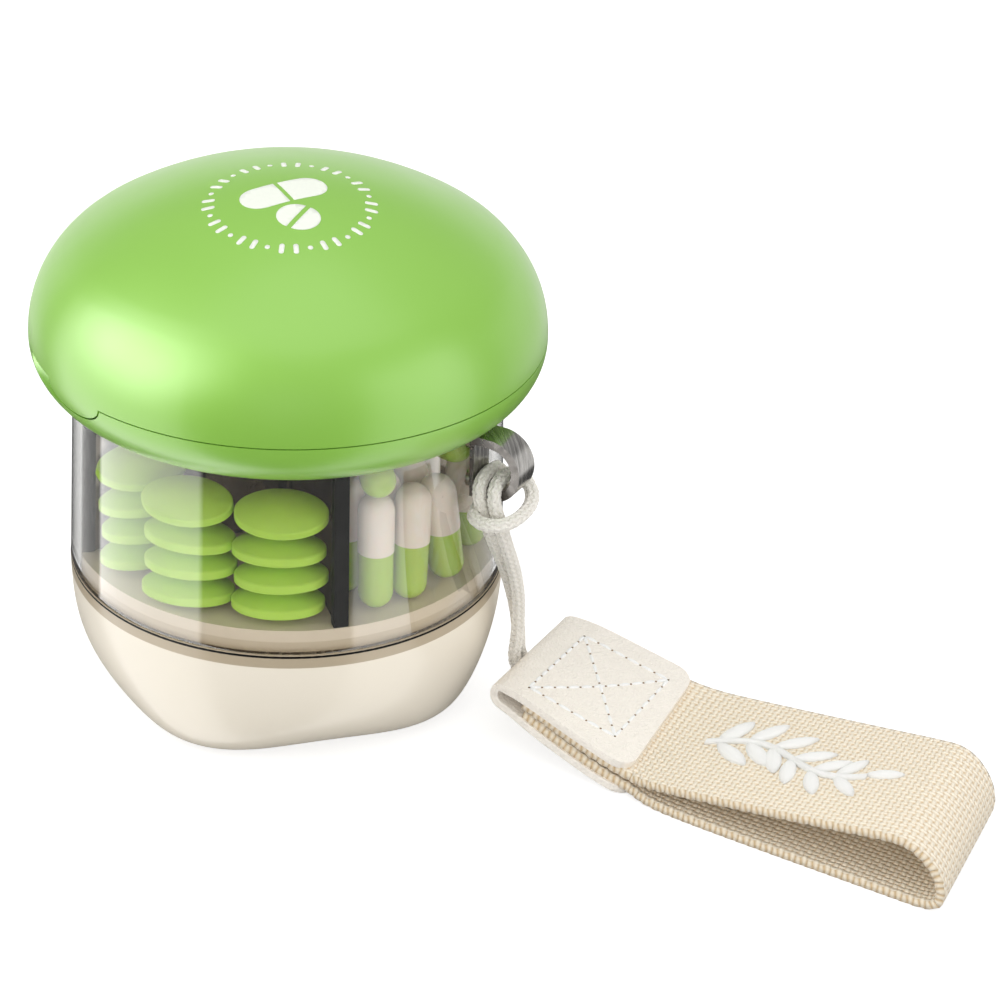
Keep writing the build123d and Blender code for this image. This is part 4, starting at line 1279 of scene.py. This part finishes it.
class PILL_CUTTER_OT_leather_tab(Operator):
    """Folded leather tab with its box of stitches"""

    bl_idname = "pill_cutter.leather_tab"
    bl_label = "Leather tab"

    # Side view of the leather's middle: along the strap and height
    FOLD = (
        (0.0000, 0.00070),
        (-0.0040, 0.00110),
        (-0.0110, 0.00290),
        (-0.0175, 0.00480),
        (-0.0208, 0.00615),
        (-0.0238, 0.00680),
        (-0.0242, 0.00830),
        (-0.0236, 0.00990),
        (-0.0208, 0.00980),
        (-0.0170, 0.00920),
        (-0.0090, 0.00710),
        (0.0000, 0.00500),
    )
    # Strips that let the sheet follow the fold
    STATIONS = 96
    # A stitch's half width and half height, and the radius of a needle hole
    STITCH = (0.00031, 0.00026)
    HOLE = 0.00019
    # Corners of the stitched box: along and across
    BOX = ((-0.0192, 0.0034), (-0.0045, 0.0053), (-0.0030, 0.0260), (-0.0184, 0.0257))

    def execute(self, context):
        strap = context.scene.pill_cutter_strap
        fold = Track(side_line([(along, 0, height) for along, height in self.FOLD]))
        work = bmesh.new()
        bmesh.ops.create_grid(work, x_segments=1, y_segments=1, size=0.5)
        bmesh.ops.translate(work, vec=(0.5, 0.5, 0), verts=work.verts)
        bmesh.ops.scale(work, vec=(fold.length, strap.tab_width, 1), verts=work.verts)
        round_corners(work, work.verts[:], strap.tab_corner)
        stations = [fold.length * step / self.STATIONS for step in range(1, self.STATIONS)]
        slice_across(work, Vector((1, 0, 0)), stations)
        for vert in work.verts:
            place, _ = fold.at(vert.co.x)
            vert.co = strap_point(place.x, vert.co.y, place.z)
        smooth(work, 1.2)
        bmesh.ops.recalc_face_normals(work, faces=work.faces)
        leather = grained_leather("tab_leather", strap.leather)
        tab = new_piece("leather_fold", work, leather, "stem", ("leather_tab",))
        wall = tab.modifiers.new("wall", "SOLIDIFY")
        wall.thickness = strap.leather_thickness
        wall.offset = 0
        edge = tab.modifiers.new("edge", "BEVEL")
        edge.width = 0.0003
        edge.segments = 3
        edge.limit_method = "ANGLE"
        edge.angle_limit = math.radians(50)
        self.stitches(strap, fold)
        return {"FINISHED"}

    def stitches(self, strap, fold):
        """Thread round the box and across both diagonals, with dark dots at the needle holes between as
        painted shade of the holes.
        """
        seams = list(zip(self.BOX, self.BOX[1:] + self.BOX[:1]))
        seams += [(self.BOX[0], self.BOX[2]), (self.BOX[1], self.BOX[3])]
        stitches = []
        holes = []
        for start, end in seams:
            run = math.dist(start, end)
            count = max(1, round(run / (strap.stitch_length + strap.stitch_gap)))
            margin = strap.stitch_gap / 4 / run
            for index in range(count + 1):
                holes.append(self.on_top(fold, strap, start, end, index / count))
            for index in range(count):
                first = self.on_top(fold, strap, start, end, index / count + margin)
                last = self.on_top(fold, strap, start, end, (index + 1) / count - margin)
                axis = last - first
                turn = axis.to_track_quat("X", "Z").to_matrix().to_4x4()
                size = Matrix.Diagonal((axis.length / 2, *self.STITCH, 1))
                stitches.append(Matrix.Translation((first + last) / 2) @ turn @ size)
        bead = bmesh.new()
        bmesh.ops.create_uvsphere(bead, u_segments=12, v_segments=8, radius=1)
        work = repeated(bead, stitches)
        smooth(work, 1.2)
        white = braided_yarn("seam_thread", strap.thread)
        new_piece("tab_stitches", work, white, "stem")
        eye = bmesh.new()
        bmesh.ops.create_uvsphere(eye, u_segments=10, v_segments=6, radius=self.HOLE)
        bmesh.ops.scale(eye, vec=(1, 1, 0.5), verts=eye.verts)
        work = repeated(eye, [Matrix.Translation(hole) for hole in holes])
        smooth(work, 1.2)
        # Dark brown dots at the needle holes: painted shade of the holes, which are not cut into the leather.
        dark = soft_rubber("needle_hole", paint(138, 116, 92))
        new_piece("tab_needle_holes", work, dark, "stem")

    def on_top(self, fold, strap, start, end, share):
        """A point on the upper face of the tab's top layer."""
        along = start[0] + (end[0] - start[0]) * share
        across = start[1] + (end[1] - start[1]) * share
        height = fold.over(along, fold.length * 0.5, fold.length).z
        return strap_point(along, across, height + strap.leather_thickness / 2 * 1.04)


class PILL_CUTTER_OT_webbing(Operator):
    """Woven wrist strap with an embroidered sprig"""

    bl_idname = "pill_cutter.webbing"
    bl_label = "Webbing"

    # Side view of the webbing's middle: along the strap and height
    LOOP = (
        (-0.0190, 0.00660),
        (-0.0110, 0.00425),
        (-0.0040, 0.00240),
        (0.0010, 0.00160),
        (0.0045, 0.00090),
        (0.0090, 0.00066),
        (0.0200, 0.00065),
        (0.0340, 0.00065),
        (0.0470, 0.00065),
        (0.0547, 0.00066),
        (0.0568, 0.0024),
        (0.0556, 0.0072),
        (0.0506, 0.0107),
        (0.0440, 0.0098),
        (0.0360, 0.0085),
        (0.0240, 0.0067),
        (0.0120, 0.0050),
        (0.0020, 0.00360),
        (-0.0040, 0.00450),
        (-0.0110, 0.00620),
        (-0.0190, 0.00840),
    )

    # How far the yarns stand out and in
    KNUCKLE = 0.00007
    # Sprig: where it starts, leaves to a side, its sway, its stem's radius and a first leaf's half length
    START = 0.0085
    LEAVES = 6
    SWAY = 0.0024
    STEM = 0.0008
    LEAF = 0.0043

    def execute(self, context):
        strap = context.scene.pill_cutter_strap
        line = Track(side_line([(along, 0, height) for along, height in self.LOOP]))
        side = (strap.tab_width - strap.webbing_width) / 2
        work = bmesh.new()
        work.loops.layers.uv.new("weave")
        columns = 2 * round(line.length / strap.yarn_pitch)
        rows = 2 * round(strap.webbing_width / strap.yarn_pitch)
        bmesh.ops.create_grid(work, x_segments=columns, y_segments=rows, size=0.5, calc_uvs=True)
        for vert in work.verts:
            across = (vert.co.y + 0.5) * strap.webbing_width
            place, ahead = line.at((vert.co.x + 0.5) * line.length)
            normal = Vector((-ahead.z, 0, ahead.x))
            column = round((vert.co.x + 0.5) * columns)
            row = round((vert.co.y + 0.5) * rows)
            knuckle = self.KNUCKLE if (column // 2 + row // 2) % 2 else -self.KNUCKLE
            place = place + normal * knuckle
            vert.co = strap_point(place.x, side + across, place.z)
        smooth(work, 1.2)
        bmesh.ops.recalc_face_normals(work, faces=work.faces)
        weave = woven_webbing("strap_weave", strap.webbing, strap.weave_gap_shade, rows / 2, columns / 2)
        band = new_piece("webbing_band", work, weave, "stem", ("wrist_strap",))
        wall = band.modifiers.new("wall", "SOLIDIFY")
        wall.thickness = strap.webbing_thickness
        wall.offset = 0
        self.sprig(strap, line, side)
        return {"FINISHED"}

    def on_top(self, line, strap, along, across, lift):
        """A point above the strap's upper run."""
        height = line.over(along, line.length * 0.55, line.length).z
        return strap_point(along, across, height + strap.webbing_thickness / 2 + lift)

    def sprig(self, strap, line, side):
        """A raised stem with leaves, in satin stitch."""
        leaf = bmesh.new()
        leaf.loops.layers.uv.new("thread")
        bmesh.ops.create_uvsphere(leaf, u_segments=20, v_segments=14, radius=1, calc_uvs=True)
        for vert in leaf.verts:
            vert.co.x *= max(0.0, 1 - abs(vert.co.z) ** 2.2) ** 0.25
        base = bpy.data.meshes.new("leaf")
        leaf.to_mesh(base)
        leaf.free()
        work = bmesh.new()
        middle = strap.webbing_width / 2 + side
        for index in range(self.LEAVES + 1):
            share = index / self.LEAVES
            wave = 2 * math.pi * share
            along = self.START + strap.sprig_length * (0.06 + 0.86 * share)
            across = middle + self.SWAY * math.sin(wave)
            ways = (0,) if index == self.LEAVES else (-1, 1)
            for way in ways:
                size = self.LEAF - 0.0009 * share
                turn = way * math.radians(52) + 0.35 * math.cos(wave)
                self.place_leaf(work, base, line, strap, along, across, turn, size)
        bpy.data.meshes.remove(base)
        stem = bmesh.new()
        stem.loops.layers.uv.new("thread")
        radius = self.STEM
        bmesh.ops.create_cone(
            stem, cap_ends=True, segments=14, radius1=radius, radius2=radius, depth=1, calc_uvs=True
        )
        slice_across(stem, Vector((0, 0, 1)), [step / 60 - 0.5 for step in range(1, 60)])
        for vert in stem.verts:
            share = vert.co.z + 0.5
            along = self.START + strap.sprig_length * share * 0.94
            across = middle + self.SWAY * math.sin(2 * math.pi * (share - 0.03)) + vert.co.y
            vert.co = self.on_top(line, strap, along, across, vert.co.x * 0.6 + 0.00012)
        merge(work, stem)
        smooth(work, 1.2)
        white = satin_thread("sprig_thread", strap.thread, 14)
        new_piece("strap_sprig", work, white, "stem")

    def place_leaf(self, work, base, line, strap, along, across, turn, size):
        """One leaf that starts at the stem and points outward along its turn."""
        before = len(work.verts)
        work.from_mesh(base)
        work.verts.ensure_lookup_table()
        for vert in work.verts[before:]:
            reach = (vert.co.z + 1) * size
            beside = vert.co.x * size * 0.36
            spot_along = along + reach * math.cos(turn) - beside * math.sin(turn)
            spot_across = across + reach * math.sin(turn) + beside * math.cos(turn)
            vert.co = self.on_top(line, strap, spot_along, spot_across, vert.co.y * 0.00062 + 0.0001)


class PILL_CUTTER_PT_pieces(Panel):
    """The pieces and their settings in the sidebar"""

    bl_idname = "PILL_CUTTER_PT_pieces"
    bl_label = "Pill Cutter"
    bl_space_type = "VIEW_3D"
    bl_region_type = "UI"
    bl_category = "Pill Cutter"

    def draw(self, context):
        layout = self.layout
        for operator in OPERATORS:
            layout.operator(operator.bl_idname)
        for name, group in SETTINGS.items():
            box = layout.box()
            for field in group.__annotations__:
                box.prop(getattr(context.scene, name), field)


SETTINGS = {
    "pill_cutter_cap": CapSettings,
    "pill_cutter_stem": StemSettings,
    "pill_cutter_strap": StrapSettings,
    "pill_cutter_stage": StageSettings,
}
OPERATORS = (
    PILL_CUTTER_OT_stage,
    PILL_CUTTER_OT_cord,
    PILL_CUTTER_OT_cap,
    PILL_CUTTER_OT_cutter,
    PILL_CUTTER_OT_stem,
    PILL_CUTTER_OT_tablets,
    PILL_CUTTER_OT_capsules,
    PILL_CUTTER_OT_leather_tab,
    PILL_CUTTER_OT_webbing,
)


def register():
    for name, group in SETTINGS.items():
        bpy.utils.register_class(group)
        setattr(bpy.types.Scene, name, PointerProperty(type=group))
    for operator in OPERATORS:
        bpy.utils.register_class(operator)
    bpy.utils.register_class(PILL_CUTTER_PT_pieces)


def unregister():
    bpy.utils.unregister_class(PILL_CUTTER_PT_pieces)
    for operator in reversed(OPERATORS):
        bpy.utils.unregister_class(operator)
    for name, group in reversed(SETTINGS.items()):
        delattr(bpy.types.Scene, name)
        bpy.utils.unregister_class(group)


def main():
    register()
    bpy.ops.pill_cutter.stage()
    bpy.ops.pill_cutter.cord()
    bpy.ops.pill_cutter.cap()
    bpy.ops.pill_cutter.cutter()
    bpy.ops.pill_cutter.stem()
    bpy.ops.pill_cutter.tablets()
    bpy.ops.pill_cutter.capsules()
    bpy.ops.pill_cutter.leather_tab()
    bpy.ops.pill_cutter.webbing()


if __name__ == "__main__":
    main()
